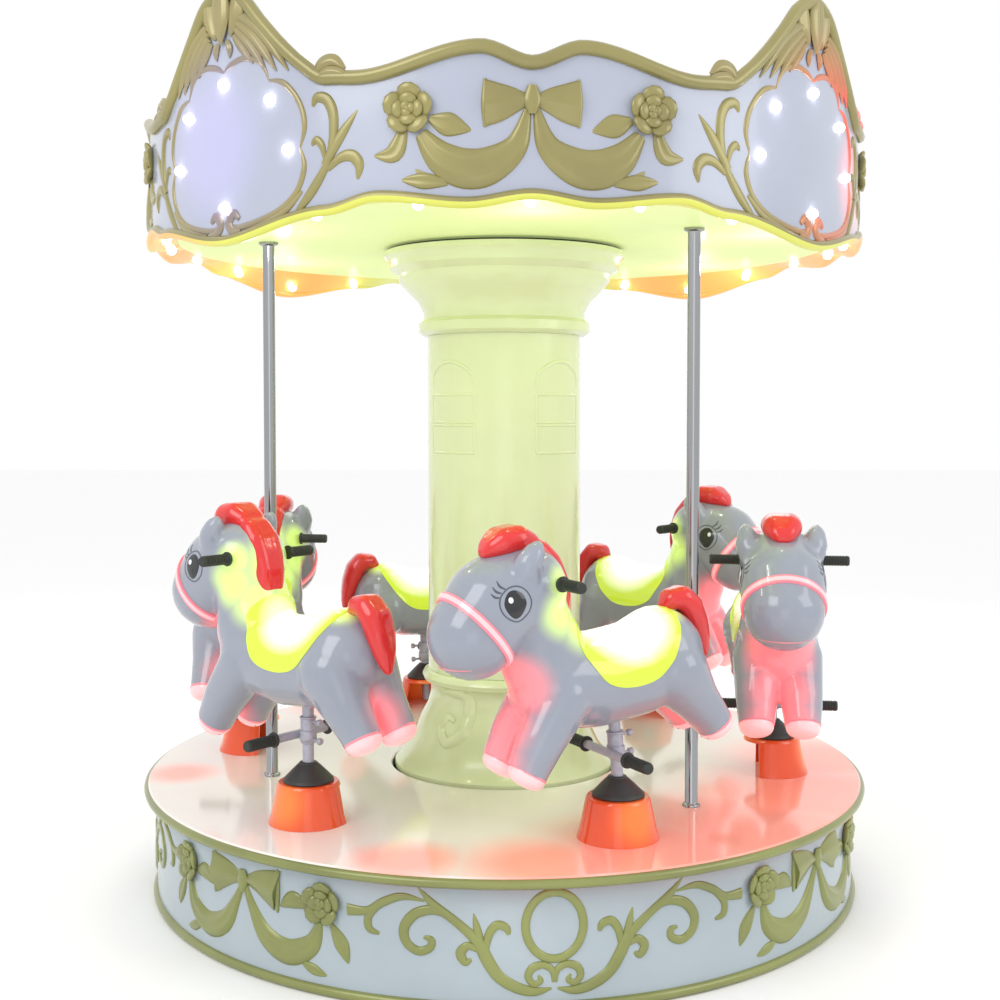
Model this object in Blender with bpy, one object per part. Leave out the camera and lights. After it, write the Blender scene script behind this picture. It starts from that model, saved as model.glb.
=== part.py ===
"""Six-horse children's carousel.

A fixed round base and centre column carry a turning deck. Three poles on the deck hold up
the canopy, and six ponies slide up and down on posts as they go round.
Metres, +Z up, origin on the ground at the centre, front towards -Y.
"""
import math

import bmesh
import bpy
from mathutils import Matrix, Vector

# Driving dimensions in metres, heights from the ground
DECK_RADIUS = 1.150
DECK_TOP = 0.350
DECK_THICKNESS = 0.030
DECK_HOLE_RADIUS = 0.368
DECK_CHAMFER = 0.006
SKIRT_RADIUS = 1.112
CEILING_BOTTOM = 2.020
CEILING_THICKNESS = 0.020
SEAT = 0.0003             # gap between pieces that touch
RUNNING_GAP = 0.010       # gap between turning and fixed pieces

# Segments of the round pieces
LARGE_SEGMENTS = 48
COLUMN_SEGMENTS = 20
HOOD_SEGMENTS = 16
SMALL_SEGMENTS = 10
BAR_SEGMENTS = 8

# Azimuths in degrees, from the front (-Y) towards +X
HORSE_AZIMUTH = 20.75
POLE_AZIMUTH = 45.7
CROWN_AZIMUTH = 3.5

# Skirt and base frame
SKIRT_THICKNESS = 0.015
SKIRT_TOP = DECK_TOP - DECK_THICKNESS - RUNNING_GAP
SKIRT_FLANGE = 0.040
BEAD_RADIUS = 0.013
BEARING_OUTER_RADIUS = 0.485
BEARING_INNER_RADIUS = 0.395
BEARING_TOP = 0.250
HUB_RADIUS = 0.345
BEARING_SEAT_DEPTH = 0.050
BEAM_SIZE = 0.060
ARM_WIDTH = 0.060
ARM_END_RADIUS = 1.050
ARM_ROOT_DEPTH = 0.030
ARM_LIFT = 0.015

# Centre column: (radius, height) down its outer side
COLUMN_FOOT_PROFILE = (
    (0.228, 0.660), (0.262, 0.652), (0.268, 0.638), (0.262, 0.624), (0.246, 0.616),
    (0.240, 0.585), (0.250, 0.545), (0.272, 0.505), (0.290, 0.455), (0.314, 0.405),
    (0.346, 0.368), (0.358, 0.358), (0.358, 0.340))
COLUMN_SHAFT_RADIUS = 0.248
COLUMN_SHAFT_TOP = 1.740
CAPITAL_PROFILE = (
    (0.389, 2.008), (0.389, 1.992), (0.376, 1.978), (0.372, 1.955), (0.345, 1.935),
    (0.340, 1.912), (0.312, 1.882), (0.280, 1.850), (0.262, 1.815), (0.262, 1.792),
    (0.278, 1.780), (0.278, 1.752), (0.262, 1.740))
COLUMN_BORE_RADIUS = 0.150

# Poles between deck and ceiling
POLE_CIRCLE_RADIUS = 0.760
POLE_RADIUS = 0.0185
POLE_FLANGE_RADIUS = 0.042
POLE_FLANGE_THICKNESS = 0.008

# Crown: wall and beads
CROWN_RADIUS = 1.112
CROWN_BEAD_RADIUS = 1.130
CROWN_INNER_RADIUS = 1.098
SOFFIT_INNER_RADIUS = 1.035
SOFFIT_THICKNESS = 0.016
SOFFIT_RISE = 0.060
CROWN_BEAD_START = 0.010
CROWN_BEAD_END = 0.026
CROWN_BEAD_FOOT = 0.036
PANEL_HALF_ANGLE = 27.0
MEDALLION_HALF_ANGLE = 18.0
PANEL_STEPS = 12
MEDALLION_STEPS = 10
# Edge heights: (degrees from the middle of the piece, height)
PANEL_TOP = ((0.0, 2.357), (6.5, 2.397), (22.0, 2.336), (27.0, 2.342))
PANEL_BOTTOM = ((0.0, 2.010), (8.0, 1.990), (20.0, 2.012), (27.0, 1.985))
MEDALLION_TOP = ((0.0, 2.610), (4.0, 2.585), (9.0, 2.470), (13.0, 2.395), (18.0, 2.342))
MEDALLION_BOTTOM = ((0.0, 1.932), (18.0, 1.985))
ROOF_EDGE_HEIGHT = 2.190
ROOF_TOP_HEIGHT = 2.330
ROOF_THICKNESS = 0.012
ROOF_RADIUS = 1.0965
ROOF_EYE_RADIUS = 0.050

# Horse posts and the hoods that they rise from, heights above the deck
HORSE_COUNT = 6
HORSE_CIRCLE_RADIUS = 0.867
HORSE_TURNS = (8.0, 2.0, -1.0, -4.0, 3.0, 1.0)      # degrees, nose outwards
HORSE_PITCHES = (4.0, 3.0, -2.0, -2.0, 1.0, 0.0)    # degrees, nose down
HORSE_LIFTS = (0.000, -0.015, -0.010, -0.040, -0.025, 0.005)
PIVOT_HEIGHT = 0.130      # where a leaning post passes the middle of its hood
HOOD_HEIGHT = 0.112
HOOD_TOP_RADIUS = 0.086
HOOD_FOOT_RADIUS = 0.109
HOOD_WALL = 0.006
HOOD_OPEN_FROM = -0.045
CUTTER_REACH = 0.010
BOOT_PROFILE = ((0.024, 0.152), (0.030, 0.147), (0.035, 0.138), (0.062, 0.120), (0.067, 0.1123))
POST_RADIUS = 0.0160
BOOT_BORE_RADIUS = POST_RADIUS + 0.0005
HOOD_BORE_RADIUS = 0.0195
POST_BOTTOM = 0.064
POST_TOP = 0.372
COLLAR_RADIUS = 0.025
COLLAR_HEIGHT = 0.030

# Footrest bar and handlebar: (distance from the middle, radius)
FOOTREST_FORWARD = 0.030
FOOTREST_HEIGHT = 0.236
HANDLEBAR_FORWARD = 0.203
HANDLEBAR_HEIGHT = 0.726
FOOTREST_STEPS = ((0.098, 0.0125), (0.098, 0.0165), (0.200, 0.0165))
HANDLEBAR_STEPS = ((0.112, 0.0120), (0.112, 0.0160), (0.207, 0.0160))

# Horse body as rounded blobs: (forward, side, up, radius), up from the deck
HORSE_VOXEL = 0.014
HORSE_FACES = 440
BLOB_SPACING = 0.35       # of the smaller radius
TRUNK = ((-0.150, 0.0, 0.478, 0.128), (-0.070, 0.0, 0.448, 0.128), (0.065, 0.0, 0.440, 0.128),
         (0.180, 0.0, 0.456, 0.126))
NECK = ((0.205, 0.0, 0.515, 0.118), (0.225, 0.0, 0.580, 0.108), (0.245, 0.0, 0.645, 0.105))
HEAD = ((0.265, 0.0, 0.708, 0.124), (0.345, 0.0, 0.680, 0.126), (0.410, 0.0, 0.612, 0.117))
FRONT_LEG = ((0.190, 0.058, 0.425, 0.078), (0.268, 0.066, 0.325, 0.064), (0.304, 0.067, 0.268, 0.054),
             (0.322, 0.068, 0.236, 0.048))
HIND_LEG = ((-0.160, 0.058, 0.440, 0.095), (-0.215, 0.066, 0.360, 0.068), (-0.268, 0.067, 0.292, 0.052),
            (-0.285, 0.068, 0.264, 0.048))
EAR = ((0.290, 0.080, 0.765, 0.030), (0.262, 0.092, 0.815, 0.018))
MANE = ((0.370, 0.0, 0.800, 0.022), (0.340, 0.0, 0.820, 0.034), (0.290, 0.0, 0.830, 0.044),
        (0.240, 0.0, 0.812, 0.044), (0.198, 0.0, 0.768, 0.044), (0.174, 0.0, 0.710, 0.044),
        (0.166, 0.0, 0.650, 0.040), (0.168, 0.0, 0.610, 0.034))
TAIL = ((-0.205, 0.0, 0.610, 0.034), (-0.255, 0.0, 0.604, 0.044), (-0.290, 0.0, 0.550, 0.040),
        (-0.312, 0.0, 0.490, 0.030), (-0.325, 0.0, 0.456, 0.020))

# Saddle outline from the side: (forward, up)
SADDLE_OUTLINE = ((0.105, 0.720), (0.118, 0.640), (0.148, 0.590), (0.150, 0.560), (0.128, 0.515),
                  (0.097, 0.462), (0.045, 0.438), (-0.030, 0.436), (-0.088, 0.462), (-0.134, 0.516),
                  (-0.172, 0.572), (-0.176, 0.605), (-0.160, 0.660), (-0.150, 0.720))
SADDLE_HALF_WIDTH = 0.200
SADDLE_MEAN_RADIUS = 0.130
SADDLE_SEAM = 0.0008
HORSE_BORE_BOTTOM = 0.200


def clear_scene():
    for old in list(bpy.data.objects):
        bpy.data.objects.remove(old, do_unlink=True)


def make_material(name, colour, roughness, metallic=0.0):
    material = bpy.data.materials.new(name)
    material.use_nodes = True
    shader = material.node_tree.nodes["Principled BSDF"]
    shader.inputs["Base Color"].default_value = (*colour, 1.0)
    shader.inputs["Roughness"].default_value = roughness
    shader.inputs["Metallic"].default_value = metallic
    return material


def mesh_from(name, corners, faces):
    mesh = bpy.data.meshes.new(name)
    mesh.from_pydata([tuple(corner) for corner in corners], [], faces)
    shape = bmesh.new()
    shape.from_mesh(mesh)
    bmesh.ops.recalc_face_normals(shape, faces=shape.faces)
    shape.to_mesh(mesh)
    shape.free()
    return mesh


def place(name, mesh, material, parent, location=(0.0, 0.0, 0.0), turn=0.0):
    """Add a node from a mesh, turned by an angle in radians about +Z."""
    node = bpy.data.objects.new(name, mesh)
    bpy.context.collection.objects.link(node)
    if not mesh.materials:
        mesh.materials.append(material)
    node.parent = parent
    node.location = location
    node.rotation_euler = (0.0, 0.0, turn)
    mesh.shade_smooth()
    mesh.set_sharp_from_angle(angle=math.radians(40))
    return node


def make_empty(name, parent=None, location=(0.0, 0.0, 0.0), turn=0.0, pitch=0.0):
    """Add an empty, pitched about its own Y axis and then turned about +Z."""
    empty = bpy.data.objects.new(name, None)
    bpy.context.collection.objects.link(empty)
    empty.parent = parent
    empty.location = location
    empty.rotation_euler = (0.0, pitch, turn)
    return empty


def around(radius, azimuth, height=0.0):
    """A point at a radius and an azimuth in degrees from the front."""
    angle = math.radians(azimuth)
    return Vector((radius * math.sin(angle), -radius * math.cos(angle), height))


def turned_ring(name, profile, segments):
    """Turn a closed (radius, height) outline that stays off the axis."""
    count = len(profile)
    corners = [around(radius, 360.0 * step / segments, height)
               for step in range(segments) for radius, height in profile]
    faces = []
    for step in range(segments):
        here = step * count
        there = (step + 1) % segments * count
        for point in range(count):
            after = (point + 1) % count
            faces.append((here + point, here + after, there + after, there + point))
    return mesh_from(name, corners, faces)


def turned_solid(name, profile, segments):
    """Turn a (radius, height) line, top to bottom, and close it with flat ends."""
    count = len(profile)
    corners = [around(radius, 360.0 * step / segments, height)
               for radius, height in profile for step in range(segments)]
    faces = [tuple(range(segments)), tuple(range((count - 1) * segments, count * segments))]
    for level in range(count - 1):
        for step in range(segments):
            after = (step + 1) % segments
            top = level * segments
            low = top + segments
            faces.append((top + step, top + after, low + after, low + step))
    return mesh_from(name, corners, faces)


def skinned(name, sections):
    """Join equal closed sections one after the other and cap both ends."""
    count = len(sections[0])
    corners = [corner for section in sections for corner in section]
    last = (len(sections) - 1) * count
    faces = [tuple(range(count)), tuple(range(last, last + count))]
    for index in range(len(sections) - 1):
        here = index * count
        there = here + count
        for point in range(count):
            after = (point + 1) % count
            faces.append((here + point, here + after, there + after, there + point))
    return mesh_from(name, corners, faces)


def box_mesh(name, low, high):
    corners = [Vector((x, y, z)) for x in (low[0], high[0]) for y in (low[1], high[1])
               for z in (low[2], high[2])]
    faces = [(0, 1, 3, 2), (4, 6, 7, 5), (0, 4, 5, 1), (2, 3, 7, 6), (0, 2, 6, 4), (1, 5, 7, 3)]
    return mesh_from(name, corners, faces)


def combine(name, mesh, operation, others):
    """Cut, join or intersect a mesh with others by exact Booleans and return the result."""
    made = []
    subject = bpy.data.objects.new("subject", mesh)
    bpy.context.collection.objects.link(subject)
    made.append(subject)
    for other in others:
        tool = bpy.data.objects.new("tool", other)
        bpy.context.collection.objects.link(tool)
        tool.hide_render = True
        tool.display_type = "WIRE"
        made.append(tool)
        step = subject.modifiers.new(operation.lower(), "BOOLEAN")
        step.operation = operation
        step.solver = "EXACT"
        step.object = tool
    view = bpy.context.evaluated_depsgraph_get()
    view.update()
    result = bpy.data.meshes.new_from_object(subject.evaluated_get(view))
    result.name = name
    result.materials.clear()
    for helper in made:
        bpy.data.objects.remove(helper, do_unlink=True)
    return result


def bead_points(radius, height):
    """The outer half of a round bead, from its underside up, as (radius, height) points."""
    angles = [math.radians(angle) for angle in (-90, -30, 30, 90)]
    return tuple((radius + BEAD_RADIUS * math.cos(angle), height + BEAD_RADIUS * math.sin(angle))
                 for angle in angles)


def eased(points, angle):
    """The height at an angle, along a soft curve through (angle, height) points."""
    angle = abs(angle)
    for (low, low_height), (high, high_height) in zip(points, points[1:]):
        if angle <= high:
            share = (angle - low) / (high - low)
            soft = 0.5 - 0.5 * math.cos(math.pi * share)
            return low_height + (high_height - low_height) * soft
    return points[-1][1]


def make_skirt(base, paint):
    """Round side wall with a bead along its foot and a flange under the deck."""
    inner = SKIRT_RADIUS - SKIRT_THICKNESS
    profile = bead_points(SKIRT_RADIUS, BEAD_RADIUS) + (
        (SKIRT_RADIUS, SKIRT_TOP), (inner - SKIRT_FLANGE, SKIRT_TOP),
        (inner - SKIRT_FLANGE, SKIRT_TOP - SKIRT_THICKNESS), (inner, SKIRT_TOP - SKIRT_THICKNESS),
        (inner, 0.0))
    place("base_skirt", turned_ring("base_skirt", profile, LARGE_SEGMENTS), paint, base)


def make_base_frame(base, steel):
    """Hub and bearing seat on the ground, with three crossing beams out to the skirt."""
    hub_top = COLUMN_FOOT_PROFILE[-1][1] - SEAT
    groove = BEARING_TOP - BEARING_SEAT_DEPTH
    hub = turned_solid("hub", (
        (HUB_RADIUS, hub_top), (HUB_RADIUS, groove), (BEARING_INNER_RADIUS, groove),
        (BEARING_INNER_RADIUS, BEARING_TOP), (BEARING_OUTER_RADIUS, BEARING_TOP),
        (BEARING_OUTER_RADIUS, 0.0)), COLUMN_SEGMENTS)
    half_step = math.pi / LARGE_SEGMENTS
    corner = SEAT + BEAM_SIZE / 2 * math.sin(half_step)
    reach = SKIRT_RADIUS - SKIRT_THICKNESS - corner / math.cos(half_step)
    beams = []
    for turn in (0, 60, 120):
        beam = box_mesh("beam", (-reach, -BEAM_SIZE / 2, 0.0), (reach, BEAM_SIZE / 2, BEAM_SIZE))
        beam.transform(Matrix.Rotation(math.radians(turn), 4, "Z"))
        beams.append(beam)
    place("base_frame", combine("base_frame", hub, "UNION", beams), steel, base)


def make_column(base, paint):
    bottom = COLUMN_FOOT_PROFILE[-1][1]
    top = COLUMN_FOOT_PROFILE[0][1]
    foot = turned_ring("column_foot", COLUMN_FOOT_PROFILE + (
        (COLUMN_BORE_RADIUS, bottom), (COLUMN_BORE_RADIUS, top)), COLUMN_SEGMENTS)
    place("column_foot", foot, paint, base)
    shaft_bottom = top + SEAT
    shaft = turned_ring("column_shaft", (
        (COLUMN_SHAFT_RADIUS, shaft_bottom), (COLUMN_SHAFT_RADIUS, COLUMN_SHAFT_TOP),
        (COLUMN_BORE_RADIUS, COLUMN_SHAFT_TOP), (COLUMN_BORE_RADIUS, shaft_bottom)), COLUMN_SEGMENTS)
    place("column_shaft", shaft, paint, base)
    bottom = CAPITAL_PROFILE[-1][1] + SEAT
    profile = CAPITAL_PROFILE[:-1] + ((CAPITAL_PROFILE[-1][0], bottom), (COLUMN_BORE_RADIUS, bottom),
                                      (COLUMN_BORE_RADIUS, CAPITAL_PROFILE[0][1]))
    place("column_capital", turned_ring("column_capital", profile, COLUMN_SEGMENTS), paint, base)


def make_deck(platform, paint, steel):
    """Round floor with a bead along its edge, on the arms of the turntable."""
    bottom = DECK_TOP - DECK_THICKNESS
    bead_middle = DECK_RADIUS - BEAD_RADIUS * math.cos(math.radians(30))
    profile = ((DECK_HOLE_RADIUS, bottom),) + bead_points(bead_middle, bottom + BEAD_RADIUS) + (
        (bead_middle - DECK_CHAMFER, DECK_TOP), (DECK_HOLE_RADIUS, DECK_TOP))
    place("deck", turned_ring("deck", profile, LARGE_SEGMENTS), paint, platform)
    low = BEARING_TOP + SEAT
    high = bottom - SEAT
    race = turned_ring("race", (
        (BEARING_INNER_RADIUS, low), (BEARING_OUTER_RADIUS, low), (BEARING_OUTER_RADIUS, high),
        (BEARING_INNER_RADIUS, high)), COLUMN_SEGMENTS)
    arms = []
    for index in range(HORSE_COUNT):
        arm = box_mesh("arm", (BEARING_OUTER_RADIUS - ARM_ROOT_DEPTH, -ARM_WIDTH / 2, low + ARM_LIFT),
                       (ARM_END_RADIUS, ARM_WIDTH / 2, high))
        turn = math.radians(HORSE_AZIMUTH - 90 + 60 * index)
        arm.transform(Matrix.Rotation(turn, 4, "Z"))
        arms.append(arm)
    place("turntable", combine("turntable", race, "UNION", arms), steel, platform)


def make_poles(platform, chrome):
    low = DECK_TOP + SEAT
    high = CEILING_BOTTOM - SEAT
    thick = POLE_FLANGE_THICKNESS
    mesh = turned_solid("pole", (
        (POLE_FLANGE_RADIUS, high), (POLE_FLANGE_RADIUS, high - thick), (POLE_RADIUS, high - thick),
        (POLE_RADIUS, low + thick), (POLE_FLANGE_RADIUS, low + thick), (POLE_FLANGE_RADIUS, low)),
        SMALL_SEGMENTS)
    for index in range(3):
        spot = around(POLE_CIRCLE_RADIUS, POLE_AZIMUTH + 120 * index)
        place(f"pole_{index + 1}", mesh, chrome, platform, spot)


def crown_section(middle, angle, top, bottom):
    """The crown's cross-section at an angle in degrees from the middle of its piece."""
    high = eased(top, angle)
    low = eased(bottom, angle)
    bead = CROWN_BEAD_RADIUS
    wall = CROWN_RADIUS
    outline = (
        (wall, low), (bead, low + CROWN_BEAD_START), (bead, low + CROWN_BEAD_END),
        (wall, low + CROWN_BEAD_FOOT), (wall, high - CROWN_BEAD_FOOT), (bead, high - CROWN_BEAD_END),
        (bead, high - CROWN_BEAD_START), (wall, high),
        (CROWN_INNER_RADIUS, high - CROWN_BEAD_START), (CROWN_INNER_RADIUS, low + SOFFIT_RISE),
        (SOFFIT_INNER_RADIUS, CEILING_BOTTOM + SOFFIT_THICKNESS), (SOFFIT_INNER_RADIUS, CEILING_BOTTOM))
    return [around(radius, middle + angle, height) for radius, height in outline]


def crown_piece(name, middle, half_angle, steps, top, bottom):
    half = half_angle - math.degrees(SEAT / 2 / SOFFIT_INNER_RADIUS)
    angles = [half * (2 * step / steps - 1) for step in range(steps + 1)]
    return skinned(name, [crown_section(middle, angle, top, bottom) for angle in angles])


def make_canopy(platform, paint, crown_paint, roof_paint):
    radius = SOFFIT_INNER_RADIUS * math.cos(math.radians(PANEL_HALF_ANGLE / PANEL_STEPS)) - SEAT
    ceiling = turned_solid("canopy_ceiling", (
        (radius, CEILING_BOTTOM + CEILING_THICKNESS), (radius, CEILING_BOTTOM)), LARGE_SEGMENTS)
    place("canopy_ceiling", ceiling, paint, platform)
    roof = turned_solid("canopy_roof", (
        (ROOF_EYE_RADIUS, ROOF_TOP_HEIGHT), (ROOF_RADIUS, ROOF_EDGE_HEIGHT),
        (ROOF_RADIUS, ROOF_EDGE_HEIGHT - ROOF_THICKNESS),
        (ROOF_EYE_RADIUS, ROOF_TOP_HEIGHT - ROOF_THICKNESS)), LARGE_SEGMENTS)
    place("canopy_roof", roof, roof_paint, platform)
    for index in range(4):
        middle = CROWN_AZIMUTH + 90 * index
        name = f"crown_panel_{index + 1}"
        panel = crown_piece(name, middle, PANEL_HALF_ANGLE, PANEL_STEPS, PANEL_TOP, PANEL_BOTTOM)
        place(name, panel, crown_paint, platform)
        name = f"crown_medallion_{index + 1}"
        board = crown_piece(name, middle + 45, MEDALLION_HALF_ANGLE, MEDALLION_STEPS,
                            MEDALLION_TOP, MEDALLION_BOTTOM)
        place(name, board, crown_paint, platform)


def hood_mesh():
    """Tapered round hood with a flat top, open below and towards the middle of the deck."""
    slope = (HOOD_FOOT_RADIUS - HOOD_TOP_RADIUS) / HOOD_HEIGHT
    outside = turned_solid("hood", (
        (HOOD_TOP_RADIUS, HOOD_HEIGHT), (HOOD_FOOT_RADIUS, SEAT)), HOOD_SEGMENTS)
    under_top = HOOD_HEIGHT - HOOD_WALL
    cavity = turned_solid("cavity", (
        (HOOD_TOP_RADIUS + slope * HOOD_WALL - HOOD_WALL, under_top),
        (HOOD_FOOT_RADIUS - HOOD_WALL + slope * CUTTER_REACH, -CUTTER_REACH)), HOOD_SEGMENTS)
    bore = turned_solid("bore", (
        (HOOD_BORE_RADIUS, HOOD_HEIGHT + CUTTER_REACH), (HOOD_BORE_RADIUS, under_top - CUTTER_REACH)),
        SMALL_SEGMENTS)
    beyond = HOOD_FOOT_RADIUS + CUTTER_REACH
    window = box_mesh("window", (-beyond, -beyond, -2 * CUTTER_REACH),
                      (beyond, HOOD_OPEN_FROM, under_top - HOOD_WALL / 2))
    return combine("hood", outside, "DIFFERENCE", [cavity, bore, window])


def boot_mesh(pitch):
    """Rubber boot that stays flat on its hood and leans with the post above it."""
    bottom = BOOT_PROFILE[-1][1]
    profile = BOOT_PROFILE + ((BOOT_BORE_RADIUS, bottom), (BOOT_BORE_RADIUS, BOOT_PROFILE[0][1]))
    boot = turned_ring("boot", profile, SMALL_SEGMENTS)
    lean = math.tan(pitch)
    for corner in boot.vertices:
        corner.co.x += lean * (corner.co.z - PIVOT_HEIGHT)
    return boot


def bar_mesh(name, steps, forward, height):
    """A round bar across the horse with a thicker grip at each end."""
    profile = [(radius, reach) for reach, radius in reversed(steps)]
    profile += [(radius, -reach) for reach, radius in steps]
    mesh = turned_solid(name, profile, BAR_SEGMENTS)
    mesh.transform(Matrix.Translation((forward, 0.0, height)) @ Matrix.Rotation(math.radians(90), 4, "X"))
    return mesh


def stand_mesh():
    post = turned_solid("stand", ((POST_RADIUS, POST_TOP), (POST_RADIUS, POST_BOTTOM)), SMALL_SEGMENTS)
    collar = turned_solid("collar", (
        (COLLAR_RADIUS, FOOTREST_HEIGHT + COLLAR_HEIGHT / 2),
        (COLLAR_RADIUS, FOOTREST_HEIGHT - COLLAR_HEIGHT / 2)), SMALL_SEGMENTS)
    bar = bar_mesh("footrest", FOOTREST_STEPS, FOOTREST_FORWARD, FOOTREST_HEIGHT)
    return combine("stand", post, "UNION", [collar, bar])


def add_blob(shape, spot, radius):
    bmesh.ops.create_icosphere(shape, subdivisions=2, radius=radius, matrix=Matrix.Translation(spot))


def add_limb(shape, points, mirrored):
    """Blobs along a line of (forward, side, up, radius) points, and again on the other side."""
    sides = (1, -1) if mirrored else (1,)
    for side in sides:
        for start, end in zip(points, points[1:]):
            gap = (Vector(end[:3]) - Vector(start[:3])).length
            steps = max(2, math.ceil(gap / (BLOB_SPACING * min(start[3], end[3]))))
            for step in range(steps + 1):
                share = step / steps
                x, y, z, radius = (a + (b - a) * share for a, b in zip(start, end))
                add_blob(shape, Vector((x, side * y, z)), radius)


def horse_body_mesh():
    """The whole pony as one closed skin over its blobs."""
    shape = bmesh.new()
    for points, mirrored in ((TRUNK, False), (NECK, False), (HEAD, False), (MANE, False), (TAIL, False),
                             (FRONT_LEG, True), (HIND_LEG, True), (EAR, True)):
        add_limb(shape, points, mirrored)
    mesh = bpy.data.meshes.new("horse")
    shape.to_mesh(mesh)
    shape.free()
    body = bpy.data.objects.new("horse", mesh)
    bpy.context.collection.objects.link(body)
    skin = body.modifiers.new("skin", "REMESH")
    skin.mode = "VOXEL"
    skin.voxel_size = HORSE_VOXEL
    soften = body.modifiers.new("soften", "SMOOTH")
    soften.iterations = 4
    soften.factor = 0.5
    view = bpy.context.evaluated_depsgraph_get()
    view.update()
    faces = 2 * len(body.evaluated_get(view).data.polygons)
    thin = body.modifiers.new("thin", "DECIMATE")
    thin.ratio = HORSE_FACES / faces
    thin.use_symmetry = True
    thin.symmetry_axis = "Y"
    view = bpy.context.evaluated_depsgraph_get()
    view.update()
    result = bpy.data.meshes.new_from_object(body.evaluated_get(view))
    result.materials.clear()
    bpy.data.objects.remove(body, do_unlink=True)
    return result


def saddle_prism(name, grow):
    """The saddle's side outline carried across the horse, grown by a distance."""
    middle = sum((Vector(point) for point in SADDLE_OUTLINE), Vector((0.0, 0.0))) / len(SADDLE_OUTLINE)
    outline = [middle + (Vector(point) - middle) * (1 + grow / SADDLE_MEAN_RADIUS)
               for point in SADDLE_OUTLINE]
    sides = [[Vector((point.x, side, point.y)) for point in outline]
             for side in (-SADDLE_HALF_WIDTH, SADDLE_HALF_WIDTH)]
    return skinned(name, sides)


def make_horses(platform, paints):
    white, saddle_paint, steel, rubber, orange = paints
    body = horse_body_mesh()
    saddle = combine("saddle", body.copy(), "INTERSECT", [saddle_prism("saddle_shape", 0.0)])
    post_bore = turned_solid("post_bore", (
        (POST_RADIUS + SEAT, POST_TOP + SEAT), (POST_RADIUS + SEAT, HORSE_BORE_BOTTOM)), SMALL_SEGMENTS)
    bar_hole = HANDLEBAR_STEPS[0][1] + SEAT
    bar_bore = turned_solid("bar_bore", (
        (bar_hole, SADDLE_HALF_WIDTH), (bar_hole, -SADDLE_HALF_WIDTH)), BAR_SEGMENTS)
    bar_bore.transform(Matrix.Translation((HANDLEBAR_FORWARD, 0.0, HANDLEBAR_HEIGHT))
                       @ Matrix.Rotation(math.radians(90), 4, "X"))
    saddle_cut = saddle_prism("saddle_cut", SADDLE_SEAM)
    shell = combine("shell", body, "DIFFERENCE", [saddle_cut, post_bore, bar_bore])
    stand = stand_mesh()
    handlebar = bar_mesh("handlebar", HANDLEBAR_STEPS, HANDLEBAR_FORWARD, HANDLEBAR_HEIGHT)
    hood = hood_mesh()
    for index in range(HORSE_COUNT):
        number = index + 1
        azimuth = HORSE_AZIMUTH + 60 * index
        facing = math.radians(azimuth + 180 + HORSE_TURNS[index])
        pitch = math.radians(HORSE_PITCHES[index])
        spot = around(HORSE_CIRCLE_RADIUS, azimuth, DECK_TOP)
        place(f"hood_{number}", hood, orange, platform, spot, facing)
        place(f"boot_{number}", boot_mesh(pitch), rubber, platform, spot, facing)
        pivot = spot + Vector((0.0, 0.0, PIVOT_HEIGHT))
        horse = make_empty(f"horse_{number}", platform, pivot, facing, pitch)
        lift = (0.0, 0.0, HORSE_LIFTS[index] - PIVOT_HEIGHT)
        place(f"horse_{number}_body", shell, white, horse, lift)
        place(f"horse_{number}_saddle", saddle, saddle_paint, horse, lift)
        place(f"horse_{number}_stand", stand, steel, horse, lift)
        place(f"horse_{number}_handlebar", handlebar, rubber, horse, lift)


def main():
    clear_scene()
    base = make_empty("base")
    platform = make_empty("platform", base)
    skirt_paint = make_material("skirt white", (0.62, 0.67, 0.74), 0.25)
    steel = make_material("grey steel", (0.45, 0.45, 0.50), 0.40, 0.6)
    column_paint = make_material("column cream", (0.84, 0.88, 0.62), 0.25)
    deck_paint = make_material("deck white", (0.90, 0.82, 0.74), 0.20)
    chrome = make_material("chrome", (0.80, 0.80, 0.82), 0.08, 1.0)
    crown_paint = make_material("crown white", (0.66, 0.68, 0.84), 0.25)
    roof_paint = make_material("roof white", (0.80, 0.80, 0.80), 0.40)
    horse_white = make_material("horse white", (0.70, 0.73, 0.80), 0.20)
    saddle_paint = make_material("saddle lamp", (0.85, 0.95, 0.35), 0.20)
    rubber = make_material("black rubber", (0.04, 0.04, 0.035), 0.60)
    orange = make_material("orange hood", (0.90, 0.16, 0.05), 0.25)
    make_skirt(base, skirt_paint)
    make_base_frame(base, steel)
    make_column(base, column_paint)
    make_deck(platform, deck_paint, steel)
    make_poles(platform, chrome)
    make_canopy(platform, column_paint, crown_paint, roof_paint)
    make_horses(platform, (horse_white, saddle_paint, steel, rubber, orange))


main()
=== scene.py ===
"""Six-horse children's carousel: moulded fibreglass ride on a round base, in a plain studio."""
import math

import bmesh
import bpy
from mathutils import Matrix, Vector
from mathutils.bvhtree import BVHTree


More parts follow.
